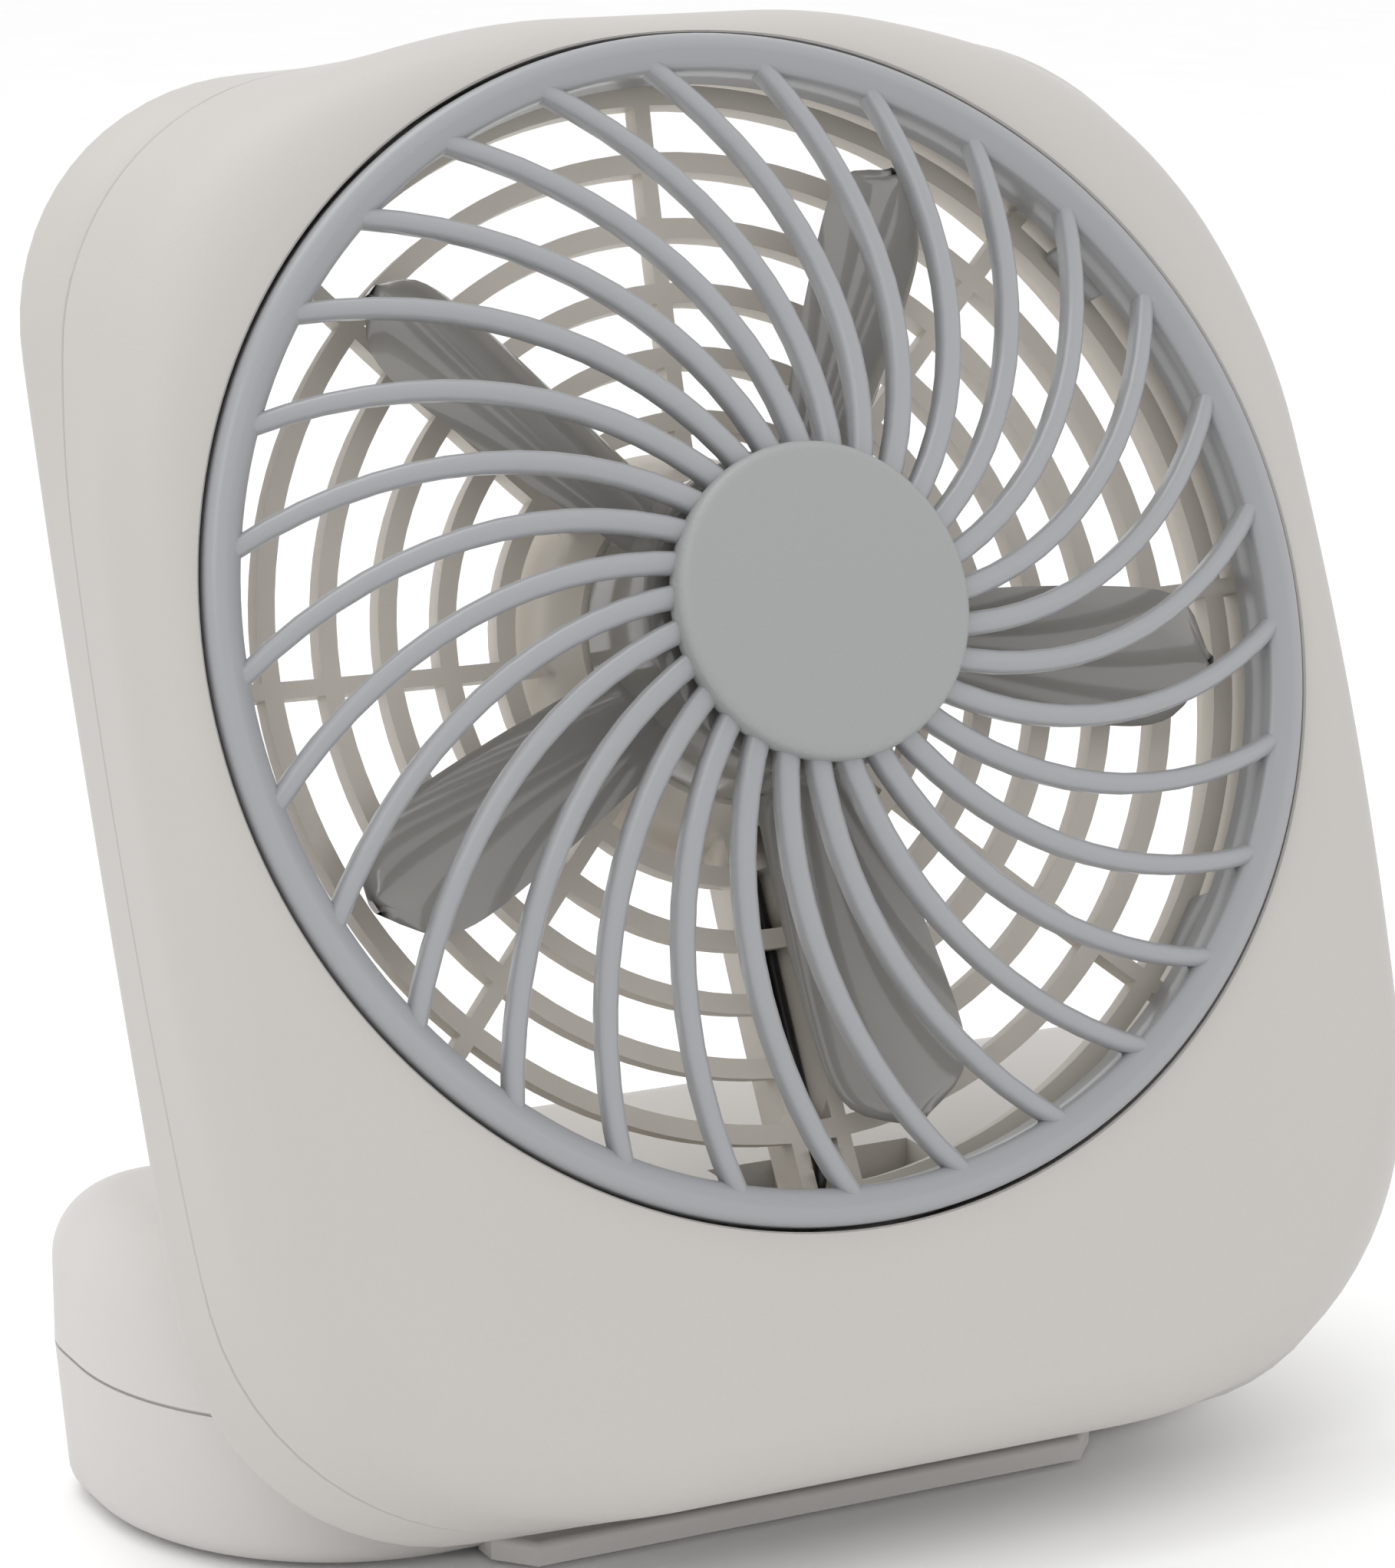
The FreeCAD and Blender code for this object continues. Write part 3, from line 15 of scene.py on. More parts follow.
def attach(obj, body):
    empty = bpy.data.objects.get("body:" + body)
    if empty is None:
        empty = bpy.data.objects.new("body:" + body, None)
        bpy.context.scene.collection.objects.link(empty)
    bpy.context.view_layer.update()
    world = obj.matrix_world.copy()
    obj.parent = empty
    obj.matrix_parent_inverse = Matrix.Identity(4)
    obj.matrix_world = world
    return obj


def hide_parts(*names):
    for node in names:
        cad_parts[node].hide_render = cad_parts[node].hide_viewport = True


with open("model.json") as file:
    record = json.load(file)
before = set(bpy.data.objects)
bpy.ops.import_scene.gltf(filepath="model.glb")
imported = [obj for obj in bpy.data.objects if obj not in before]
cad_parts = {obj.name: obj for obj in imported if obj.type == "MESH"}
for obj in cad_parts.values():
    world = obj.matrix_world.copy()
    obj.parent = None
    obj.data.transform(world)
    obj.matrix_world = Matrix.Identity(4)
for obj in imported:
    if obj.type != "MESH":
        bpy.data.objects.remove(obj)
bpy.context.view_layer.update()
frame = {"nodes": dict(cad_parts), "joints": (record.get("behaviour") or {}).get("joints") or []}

# %% [markdown]
# The head leans back, so its pieces are easier to draw upright, in millimetres, round the middle of
# the grille's ring: X to the right, Y towards the back, Z up the face. The impeller's joint tells
# where that middle is and how far the head leans. One matrix then moves each finished mesh into
# place, so the object itself stays unturned at the origin.

# %% Head coordinates
joints = {joint["name"]: joint for joint in frame["joints"]}
HEAD_CENTRE = Vector(joints["impeller_spin"]["pos_m"])
OUT_OF_FACE = Vector(joints["impeller_spin"]["axis"]).normalized()
UP_THE_FACE = OUT_OF_FACE.cross(Vector((1, 0, 0)))
MM = 0.001
HEAD_FRAME = Matrix((Vector((1, 0, 0)), -OUT_OF_FACE, UP_THE_FACE)).transposed().to_4x4()
HEAD_FRAME = Matrix.Translation(HEAD_CENTRE) @ HEAD_FRAME @ Matrix.Scale(MM, 4)
print("lean", round(math.degrees(math.asin(OUT_OF_FACE.z)), 1), "degrees")

# %% [markdown]
# The camera stands in front of the fan, a little to its left and above. Its place is given from the
# grille's middle, and a long lens keeps the perspective gentle.

# %% Camera
CAMERA_OFFSET = Vector((-0.26408, -0.49452, 0.11889))
LOOK = Vector((0.4419, 0.8643, -0.2404))
camera_data = bpy.data.cameras.new("studio_camera")
camera_data.sensor_fit = "VERTICAL"
camera_data.sensor_height = 24.0
camera_data.lens = 75.15
camera_data.clip_start = 0.01
camera = bpy.data.objects.new("studio_camera", camera_data)
bpy.context.collection.objects.link(camera)
camera.location = HEAD_CENTRE + CAMERA_OFFSET
camera.rotation_euler = LOOK.to_track_quat("-Z", "Y").to_euler()
bpy.context.scene.camera = camera

# %% [markdown]
# Small helpers save repeating the same few lines. finish_mesh turns a bmesh into an object, moves
# it into place, shades it smooth and lets sharp corners stay sharp. Every piece rides on a body of
# the mechanical model, so that it turns with the right joint.

# %% Mesh helpers
SMOOTH_ANGLE = math.radians(35)
MERGE_DISTANCE = 0.001


def finish_mesh(mesh_builder, name, body, sharp=SMOOTH_ANGLE, turn_out=True):
    """Make an object from a bmesh that is drawn in head coordinates, in millimetres."""
    bmesh.ops.remove_doubles(mesh_builder, verts=mesh_builder.verts, dist=MERGE_DISTANCE)
    if turn_out:
        bmesh.ops.recalc_face_normals(mesh_builder, faces=mesh_builder.faces)
    bmesh.ops.transform(mesh_builder, matrix=HEAD_FRAME, verts=mesh_builder.verts)
    mesh = bpy.data.meshes.new(name)
    mesh_builder.to_mesh(mesh)
    mesh_builder.free()
    mesh.shade_smooth()
    mesh.set_sharp_from_angle(angle=sharp)
    piece = bpy.data.objects.new(name, mesh)
    bpy.context.collection.objects.link(piece)
    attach(piece, body)
    print(name, len(mesh.polygons), "faces")
    return piece


def skin_loops(mesh_builder, loops, closed=False):
    """Extrude a loop of edges through each loop of points in turn."""
    verts = [mesh_builder.verts.new(point) for point in loops[0]]
    edges = [mesh_builder.edges.new(pair) for pair in zip(verts, verts[1:] + verts[:1])]
    for points in loops[1:] + loops[:1 if closed else 0]:
        grown = bmesh.ops.extrude_edge_only(mesh_builder, edges=edges)["geom"]
        fresh = {item for item in grown if isinstance(item, bmesh.types.BMVert)}
        edges = [item for item in grown if isinstance(item, bmesh.types.BMEdge) and set(item.verts) <= fresh]
        verts = [next(edge.other_vert(vert) for edge in vert.link_edges if edge.other_vert(vert) in fresh)
                 for vert in verts]
        for vert, point in zip(verts, points):
            vert.co = point


def turn_profile(mesh_builder, profile, steps=128, closed=True):
    """Spin a profile of (radius, y) points once round the Y axis."""
    verts = [mesh_builder.verts.new((radius, y, 0)) for radius, y in profile]
    pairs = list(zip(verts, verts[1:]))
    if closed:
        pairs.append((verts[-1], verts[0]))
    edges = [mesh_builder.edges.new(pair) for pair in pairs]
    bmesh.ops.spin(mesh_builder, geom=verts + edges, cent=(0, 0, 0), axis=(0, 1, 0),
                   angle=math.tau, steps=steps, use_merge=True)


def repeat_round(mesh_builder, geom, count):
    """Copy geometry at even angles round the Y axis."""
    bmesh.ops.spin(mesh_builder, geom=geom, cent=(0, 0, 0), axis=(0, 1, 0),
                   angle=math.tau * (count - 1) / count, steps=count - 1, use_duplicate=True)


def polar(radius, degrees, y):
    """A point at an angle anticlockwise from +X, as seen from the front."""
    angle = math.radians(degrees)
    return Vector((radius * math.cos(angle), y, radius * math.sin(angle)))


# %% [markdown]
# Moulded plastic is never quite even. Light spark erosion on the steel mould leaves a fine grain,
# and handling leaves faint broad changes in shine. Every plastic here needs both, at its own
# strength, so they are built once as a shader node group that gives a colour, a roughness and a
# height. The Principled shader stays in each material.

# %% Node group: moulded grain
def build_grain_group():
    """Colour, roughness and height of a moulded surface, from Object coordinates."""
    group = bpy.data.node_groups.new("moulded_grain", "ShaderNodeTree")
    sockets = group.interface
    for name, kind, value in (("Colour", "NodeSocketColor", (0.8, 0.8, 0.8, 1)),
                              ("Tint", "NodeSocketFloat", 0.03),
                              ("Roughness", "NodeSocketFloat", 0.4),
                              ("Roughness Change", "NodeSocketFloat", 0.06),
                              ("Grain Scale", "NodeSocketFloat", 3000.0)):
        socket = sockets.new_socket(name=name, in_out="INPUT", socket_type=kind)
        socket.default_value = value
    sockets.new_socket(name="Colour", in_out="OUTPUT", socket_type="NodeSocketColor")
    sockets.new_socket(name="Roughness", in_out="OUTPUT", socket_type="NodeSocketFloat")
    sockets.new_socket(name="Height", in_out="OUTPUT", socket_type="NodeSocketFloat")
    nodes = group.nodes
    link = group.links.new
    inputs = nodes.new("NodeGroupInput")
    outputs = nodes.new("NodeGroupOutput")
    place = nodes.new("ShaderNodeTexCoord")
    cloud = nodes.new("ShaderNodeTexNoise")
    cloud.inputs["Scale"].default_value = 28.0
    cloud.inputs["Detail"].default_value = 3.0
    grain = nodes.new("ShaderNodeTexNoise")
    grain.inputs["Detail"].default_value = 2.0
    link(place.outputs["Object"], cloud.inputs["Vector"])
    link(place.outputs["Object"], grain.inputs["Vector"])
    link(inputs.outputs["Grain Scale"], grain.inputs["Scale"])
    centred = nodes.new("ShaderNodeMath")
    centred.operation = "SUBTRACT"
    centred.inputs[1].default_value = 0.5
    link(cloud.outputs["Fac"], centred.inputs[0])
    shine = nodes.new("ShaderNodeMath")
    shine.operation = "MULTIPLY_ADD"
    link(centred.outputs[0], shine.inputs[0])
    link(inputs.outputs["Roughness Change"], shine.inputs[1])
    link(inputs.outputs["Roughness"], shine.inputs[2])
    link(shine.outputs[0], outputs.inputs["Roughness"])
    tint = nodes.new("ShaderNodeMath")
    tint.operation = "MULTIPLY"
    link(centred.outputs[0], tint.inputs[0])
    link(inputs.outputs["Tint"], tint.inputs[1])
    brightness = nodes.new("ShaderNodeHueSaturation")
    value = nodes.new("ShaderNodeMath")
    value.operation = "ADD"
    value.inputs[1].default_value = 1.0
    link(tint.outputs[0], value.inputs[0])
    link(value.outputs[0], brightness.inputs["Value"])
    link(inputs.outputs["Colour"], brightness.inputs["Color"])
    link(brightness.outputs["Color"], outputs.inputs["Colour"])
    link(grain.outputs["Fac"], outputs.inputs["Height"])
    return group


GRAIN = build_grain_group()

# %% [markdown]
# A finish is a colour, a shine and a grain. The fan's white shells are matt, the grille is satin,
# and the blades are glossy. Each finish below is one Principled shader fed by the grain group.

# %% Finishes
def srgb(red, green, blue):
    """Linear colour from the eight-bit values on a paint card."""
    def linear(value):
        value = value / 255
        if value <= 0.04045:
            return value / 12.92
        return ((value + 0.055) / 1.055) ** 2.4
    return (linear(red), linear(green), linear(blue), 1.0)


def moulded(name, colour, roughness, grain=3000.0, bump=0.05, tint=0.04, metallic=0.0, coat=0.0,
            specular=0.5, change=0.08):
    """A material with one Principled shader fed by the grain group."""
    material = bpy.data.materials.new(name)
    material.use_nodes = True
    material.diffuse_color = colour
    nodes = material.node_tree.nodes
    link = material.node_tree.links.new
    shader = nodes["Principled BSDF"]
    shader.inputs["Metallic"].default_value = metallic
    shader.inputs["Coat Weight"].default_value = coat
    shader.inputs["Coat Roughness"].default_value = 0.08
    shader.inputs["Specular IOR Level"].default_value = specular
    surface = nodes.new("ShaderNodeGroup")
    surface.node_tree = GRAIN
    surface.inputs["Colour"].default_value = colour
    surface.inputs["Tint"].default_value = tint
    surface.inputs["Roughness"].default_value = roughness
    surface.inputs["Roughness Change"].default_value = change
    surface.inputs["Grain Scale"].default_value = grain
    relief = nodes.new("ShaderNodeBump")
    relief.inputs["Strength"].default_value = bump
    relief.inputs["Distance"].default_value = 0.0002
    link(surface.outputs["Colour"], shader.inputs["Base Color"])
    link(surface.outputs["Roughness"], shader.inputs["Roughness"])
    link(surface.outputs["Height"], relief.inputs["Height"])
    link(relief.outputs["Normal"], shader.inputs["Normal"])
    return material


SHELL_WHITE = moulded("shell_white", srgb(186, 183, 179), 0.50, grain=2600.0, bump=0.16)
BASE_WHITE = moulded("base_white", srgb(198, 195, 192), 0.50, grain=2600.0, bump=0.16)
GRILLE_GREY = moulded("grille_grey", srgb(152, 153, 156), 0.30, grain=2000.0, bump=0.05, coat=0.15)
CAP_GREY = moulded("cap_grey", srgb(150, 152, 152), 0.42, grain=2200.0, bump=0.30)
BLADE_GREY = moulded("blade_grey", srgb(140, 138, 134), 0.12, grain=900.0, bump=0.02, coat=0.5)
# The inner white is the rear housing's own plastic painted lighter and warmer than the shell white. This
# painted light brightens the shaded works behind the blades, and the motor retainer shares the colour.
INNER_WHITE_PAINTED_LIGHT = moulded("inner_white_painted_light", srgb(206, 200, 190), 0.48, grain=2200.0, bump=0.10)
DARK_PLASTIC = moulded("dark_plastic", srgb(52, 52, 54), 0.45, grain=2400.0, bump=0.20)
RUBBER = moulded("foot_rubber", srgb(58, 57, 56), 0.80, grain=1500.0, bump=0.50)
WIRE_BLACK = moulded("wire_sleeve_black", srgb(30, 30, 32), 0.38, grain=1800.0, bump=0.10)
WIRE_CREAM = moulded("wire_sleeve_cream", srgb(226, 214, 186), 0.42, grain=1800.0, bump=0.10)
FIBRE = moulded("vulcanised_fibre", srgb(150, 74, 48), 0.70, grain=1600.0, bump=0.50, tint=0.3)
CELL_WRAP = moulded("cell_wrap", srgb(70, 86, 108), 0.30, grain=700.0, bump=0.03, coat=0.3)
STEEL = moulded("zinc_plated_steel", srgb(196, 197, 200), 0.30, grain=1400.0, bump=0.08, metallic=1.0)
BRASS = moulded("brass", srgb(205, 160, 96), 0.28, grain=1400.0, bump=0.08, metallic=1.0)
COPPER = moulded("copper", srgb(200, 120, 84), 0.30, grain=1400.0, bump=0.08, metallic=1.0)
FERRITE = moulded("ferrite", srgb(66, 64, 64), 0.60, grain=1200.0, bump=0.40, tint=0.2)
LAMINATION = moulded("stamped_laminations", srgb(120, 118, 118), 0.42, grain=1000.0, bump=0.30, metallic=0.9)

# %% [markdown]
# The hidden works and the base keep the shapes of the mechanical model, which are already right.
# They only need their finishes, so each node's own material is swapped for one of these.

# %% Finish the nodes that stay
NODE_FINISH = {
    "base_upper": BASE_WHITE, "base_lower": BASE_WHITE, "battery_door": BASE_WHITE,
    "motor_can": STEEL, "motor_shaft": STEEL, "hinge_pins": STEEL, "housing_screws": STEEL,
    "base_screws": STEEL, "retainer_screws": STEEL, "contact_spring": STEEL, "contact_plate": STEEL,
    "motor_bushing": BRASS, "motor_terminals": BRASS, "commutator": COPPER,
    "motor_end_cap": DARK_PLASTIC, "switch_body": DARK_PLASTIC, "switch_knob": DARK_PLASTIC,
    "power_jack": DARK_PLASTIC, "motor_magnets": FERRITE, "rotor_core": LAMINATION,
    "motor_retainer": INNER_WHITE_PAINTED_LIGHT, "friction_washers": FIBRE, "battery_left": CELL_WRAP,
    "battery_right": CELL_WRAP, "rubber_feet": RUBBER, "lead_black": WIRE_BLACK, "lead_cream": WIRE_CREAM,
    "lead_switch": WIRE_CREAM,
}
for node, finish in NODE_FINISH.items():
    mesh = frame["nodes"][node].data
    mesh.materials.clear()
    mesh.materials.append(finish)
print("finished", len(NODE_FINISH), "nodes")

# %% [markdown]
# The front shell is a pillow with a round hole. Its outline is rounder in front than behind, its
# edge rolls over softly, and at the top the hole cuts into that roll. Boxes and bevels can't give
# such a changing edge. A shape drawn as rings round the hole can: every ring is the outline drawn
# in by some amount, and a loop of edges extruded from ring to ring makes the skin.

# %% Head outlines
RING_STEPS = 192
FACE_Y = 0.8
PARTING_Y = 15.0
REAR_Y = 24.0
FACE_ROLL = 7.0
FRONT_OUTLINE = {"half_width": 79.4, "sag": 9.5, "top": 75.2, "bottom": -99.3,
                 "top_radius": 57.0, "bottom_radius": 40.0}
REAR_OUTLINE = {"half_width": 80.2, "sag": 0.6, "top": 75.5, "bottom": -99.5,
                "top_radius": 32.0, "bottom_radius": 30.0}


def inside_outline(x, z, outline):
    """Signed distance from a rounded square with bowed sides; negative inside."""
    middle = (outline["top"] + outline["bottom"]) / 2
    half_height = (outline["top"] - outline["bottom"]) / 2
    rise = (z - middle) / half_height
    half_width = outline["half_width"] - outline["sag"] * rise ** 2
    radius = outline["top_radius"] if z > middle else outline["bottom_radius"]
    across = abs(x) - half_width + radius
    along = abs(z - middle) - half_height + radius
    return math.hypot(max(across, 0), max(along, 0)) + min(max(across, along), 0) - radius


def outline_radius(degrees, outline):
    """Distance from the grille's middle to the outline, by halving."""
    near, far = 60.0, 140.0
    for _ in range(24):
        middle = (near + far) / 2
        point = polar(middle, degrees, 0)
        if inside_outline(point.x, point.z, outline) < 0:
            near = middle
        else:
            far = middle
    return near


ANGLES = [360.0 * step / RING_STEPS for step in range(RING_STEPS)]
FRONT_RADII = [outline_radius(angle, FRONT_OUTLINE) for angle in ANGLES]
REAR_RADII = [outline_radius(angle, REAR_OUTLINE) for angle in ANGLES]
print("outline reaches", round(min(FRONT_RADII), 1), "to", round(max(REAR_RADII), 1), "mm")


def outer_radius(step, y):
    """Outline radius at depth y, between the front outline and the rear one."""
    share = min((y - FACE_Y) / (REAR_Y - FACE_Y), 1.0)
    return FRONT_RADII[step] + share * (REAR_RADII[step] - FRONT_RADII[step])


def ring_at(radius_of_step, y_of_step):
    """One ring of points round the grille's middle."""
    return [polar(radius_of_step(step), ANGLES[step], y_of_step(step)) for step in range(RING_STEPS)]


# %% [markdown]
# From the opening, the rings climb over a small lip, cross the face, follow the roll and the side to
# the parting line, and come back along the inside to the ledge that the grille rests on.

# %% Front shell
OPENING = 71.5
COLLAR = 73.0
LEDGE = 70.0
LEDGE_FRONT_Y = 8.2
LEDGE_BACK_Y = 9.8
SHELL_WALL = 2.2
PARTING_GAP = 0.05
CLEARANCE = 0.1
LIP_ROUND = 0.25
SEAM_ROUND = 0.2
FACE_ROLL_STEPS = 9


def roll_depth(distance):
    """How far the face has rolled back at a distance in from the outline."""
    if distance >= FACE_ROLL:
        return 0.0
    return FACE_ROLL - math.sqrt(FACE_ROLL ** 2 - (FACE_ROLL - distance) ** 2)


def build_front_shell():
    """Rings from the opening, over the face and down the side, and back along the inside."""
    room = [outer_radius(step, FACE_Y) - OPENING for step in range(RING_STEPS)]
    rings = [ring_at(lambda step: OPENING,
                     lambda step: FACE_Y + roll_depth(room[step]) + LIP_ROUND),
             ring_at(lambda step: OPENING + LIP_ROUND,
                     lambda step: FACE_Y + roll_depth(room[step] - LIP_ROUND))]
    for turn in range(FACE_ROLL_STEPS + 1):
        share = 1 - math.sin(math.pi / 2 * turn / FACE_ROLL_STEPS)
        reach = [share * min(FACE_ROLL, 0.96 * space) for space in room]
        depth = [FACE_Y + roll_depth(distance) for distance in reach]
        rings.append(ring_at(lambda step: outer_radius(step, depth[step]) - reach[step],
                             lambda step: depth[step]))
    for y in (FACE_Y + FACE_ROLL + 1.5, PARTING_Y - SEAM_ROUND):
        rings.append(ring_at(lambda step: outer_radius(step, y), lambda step: y))
    rings.append(ring_at(lambda step: outer_radius(step, PARTING_Y) - SEAM_ROUND,
                         lambda step: PARTING_Y - PARTING_GAP))
    rings.append(ring_at(lambda step: max(outer_radius(step, PARTING_Y) - SHELL_WALL, COLLAR + CLEARANCE),
                         lambda step: PARTING_Y - PARTING_GAP))
    rings.append(ring_at(lambda step: max(outer_radius(step, FACE_Y) - FACE_ROLL, COLLAR + CLEARANCE / 2),
                         lambda step: FACE_Y + FACE_ROLL))
    for radius, y in ((COLLAR, FACE_Y + FACE_ROLL), (COLLAR, LEDGE_BACK_Y), (LEDGE, LEDGE_BACK_Y),
                      (LEDGE, LEDGE_FRONT_Y), (OPENING, LEDGE_FRONT_Y)):
        rings.append(ring_at(lambda step: radius, lambda step: y))
    shell = bmesh.new()
    skin_loops(shell, rings, closed=True)
    return finish_mesh(shell, "front_shell", "head")


front_shell = build_front_shell()
front_shell.data.materials.append(SHELL_WHITE)
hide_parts("front_housing")

# %% [markdown]
# The rear shell carries on from the front one, and only a fine groove shows where the two meet. Its
# rim is drawn in rings too, and its screw holes are cut with a boolean. The works behind the blades,
# which are the duct, the dished grille with its wire channel, the motor cup and the hinge lugs,
# already have the right shape in the mechanical model, so a copy of its mesh is kept without the rim.

# %% Rear shell rim
DUCT_RADIUS = 70.0
DUCT_OUTER = 72.0
DUCT_EDGE = 0.3
HINGE_Z = -71.4
REAR_ROLL = 3.0
REAR_ROLL_STEPS = 5


def build_rear_rim(builder):
    """Rings from the groove, over the side and the rear face, and back along the inside."""
    rings = [ring_at(lambda step: max(outer_radius(step, PARTING_Y) - SHELL_WALL, DUCT_OUTER + CLEARANCE),
                     lambda step: PARTING_Y + PARTING_GAP),
             ring_at(lambda step: outer_radius(step, PARTING_Y) - SEAM_ROUND,
                     lambda step: PARTING_Y + PARTING_GAP)]
    for y in (PARTING_Y + SEAM_ROUND, REAR_Y - REAR_ROLL - 1.0):
        rings.append(ring_at(lambda step: outer_radius(step, y), lambda step: y))
    for turn in range(REAR_ROLL_STEPS + 1):
        angle = math.pi / 2 * turn / REAR_ROLL_STEPS
        drawn_in = REAR_ROLL * (1 - math.cos(angle))
        y = REAR_Y - REAR_ROLL * (1 - math.sin(angle))
        rings.append(ring_at(lambda step: outer_radius(step, y) - drawn_in, lambda step: y))
    for radius, y in ((DUCT_RADIUS, REAR_Y), (DUCT_RADIUS + DUCT_EDGE, REAR_Y - DUCT_EDGE),
                      (DUCT_RADIUS + DUCT_EDGE, REAR_Y - SHELL_WALL)):
        rings.append(ring_at(lambda step: radius, lambda step: y))
    rings.append(ring_at(lambda step: max(outer_radius(step, REAR_Y) - SHELL_WALL, DUCT_OUTER + CLEARANCE),
                         lambda step: REAR_Y - SHELL_WALL))
    skin_loops(builder, rings, closed=True)


# %% [markdown]
# A face of the mechanical model's rear housing belongs to the works when all its corners are inside
# the duct, or in the small block of space where the hinge lugs stand. A screw hole is a cylinder
# taken away, and the cut is made permanent so that no cutter stays in the scene.

# %% Works and screw holes
SCREW_PLACES = ((-55.0, 55.0), (55.0, 55.0), (-60.0, -80.0), (60.0, -80.0))
SCREW_HOLE = 2.85
DRILL_LENGTH = 8.0
LUG_REACH_X = 23.0
LUG_LOW = -78.0
LUG_HIGH = -65.0


def belongs_to_works(face):
    """Whether a face is part of the duct, grille, motor cup, wire guide or hinge lugs."""
    in_duct = all(math.hypot(vert.co.x, vert.co.z) < DUCT_OUTER + 0.1 for vert in face.verts)
    on_lug = all(vert.co.y > REAR_Y - 1.5 and abs(vert.co.x) < LUG_REACH_X
                 and LUG_LOW < vert.co.z < LUG_HIGH for vert in face.verts)
    return in_duct or on_lug


def build_rear_works():
    """The works behind the blades, taken from the mechanical model's own rear housing."""
    node = frame["nodes"]["rear_housing"]
    works = bmesh.new()
    works.from_mesh(node.data)
    bmesh.ops.transform(works, matrix=HEAD_FRAME.inverted() @ node.matrix_world, verts=works.verts)
    rim = [face for face in works.faces if not belongs_to_works(face)]
    bmesh.ops.delete(works, geom=rim, context="FACES")
    return finish_mesh(works, "rear_works", "head", sharp=math.radians(30), turn_out=False)


def cut_screw_holes(piece):
    """Four round holes through the rear face, cut with a boolean and made permanent."""
    drill = bmesh.new()
    for x, z in SCREW_PLACES:
        made = bmesh.ops.create_cone(drill, cap_ends=True, segments=32, radius1=SCREW_HOLE,
                                     radius2=SCREW_HOLE, depth=DRILL_LENGTH)["verts"]
        bmesh.ops.rotate(drill, cent=(0, 0, 0), verts=made, matrix=Matrix.Rotation(math.pi / 2, 3, "X"))
        bmesh.ops.translate(drill, vec=(x, REAR_Y, z), verts=made)
    bmesh.ops.transform(drill, matrix=HEAD_FRAME, verts=drill.verts)
    mesh = bpy.data.meshes.new("drill")
    drill.to_mesh(mesh)
    drill.free()
    mesh.materials.append(SHELL_WHITE)
    cutter = bpy.data.objects.new("drill", mesh)
    bpy.context.collection.objects.link(cutter)
    cut = piece.modifiers.new("screw_holes", "BOOLEAN")
    cut.operation = "DIFFERENCE"
    cut.solver = "MANIFOLD"
    cut.object = cutter
    view = bpy.context.evaluated_depsgraph_get()
    holed = bpy.data.meshes.new_from_object(piece.evaluated_get(view))
    piece.modifiers.clear()
    piece.data = holed
    holed.set_sharp_from_angle(angle=SMOOTH_ANGLE)
    bpy.data.objects.remove(cutter)
    bpy.data.meshes.remove(mesh)
    print(piece.name, len(holed.polygons), "faces with its screw holes")


rim_builder = bmesh.new()
build_rear_rim(rim_builder)
rear_shell = finish_mesh(rim_builder, "rear_shell", "head")
rear_shell.data.materials.append(SHELL_WHITE)
cut_screw_holes(rear_shell)
rear_works = build_rear_works()
# The works are one moulding with the rear shell, so their lighter inner white is painted light, not a
# different plastic.
rear_works.data.materials.clear()
rear_works.data.materials.append(INNER_WHITE_PAINTED_LIGHT)
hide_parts("rear_housing")

# %% [markdown]
# The front grille is one grey moulding: a round-topped ring, twenty-nine ribs that swirl like a
# whirlpool, and a hub cap. The ring and the cap are turned shapes, so their profiles are spun. A rib
# is a rounded section extruded through a few stations along its spiral, and a spin that
# duplicates sets all of them at once.

# %% Front grille ring
RIB_COUNT = 29
RIB_RING_ANGLE = 179.5
RIB_TURN = 0.66
RIB_OUTER = 66.5
RIB_INNER = 17.0
DOME_RISE = 11.0


def arc_points(centre, radius, start, end, steps):
    """Points of an arc in the (radius, y) profile plane."""
    points = []
    for step in range(steps + 1):
        angle = math.radians(start + (end - start) * step / steps)
        points.append((centre[0] + radius * math.cos(angle), centre[1] + radius * math.sin(angle)))
    return points


def build_ring(grille):
    """A hoop with a rounded crest and a sloping inner shoulder."""
    profile = arc_points((69.4, 0.9), 1.6, -5, -115, 9)
    profile += [(67.4, 0.25)]
    profile += arc_points((67.5, 1.35), 1.0, -125, -180, 4)
    profile += [(66.5, 6.6), (66.9, 7.0), (67.9, 7.0), (67.9, 3.2), (69.4, 2.6), (69.4, 8.2), (71.0, 8.2)]
    turn_profile(grille, profile, steps=192)


# %% [markdown]
# A rib leaves the ring at one angle and turns a little for every millimetre that it runs inwards.
# Its front is rounded, its back is flat and a little narrower, and it follows the dome.

# %% Ribs and cap
RIB_HALF_AT_HUB = 1.45
RIB_HALF_AT_RING = 1.2
RIB_ROUND = 1.2
RIB_DEPTH = 2.9
RIB_BACK_SHARE = 0.82
RIB_STATIONS = 15
DOME_RADIUS = 67.0
TAB_ANGLES = (37.0, 143.0, 217.0, 322.0)


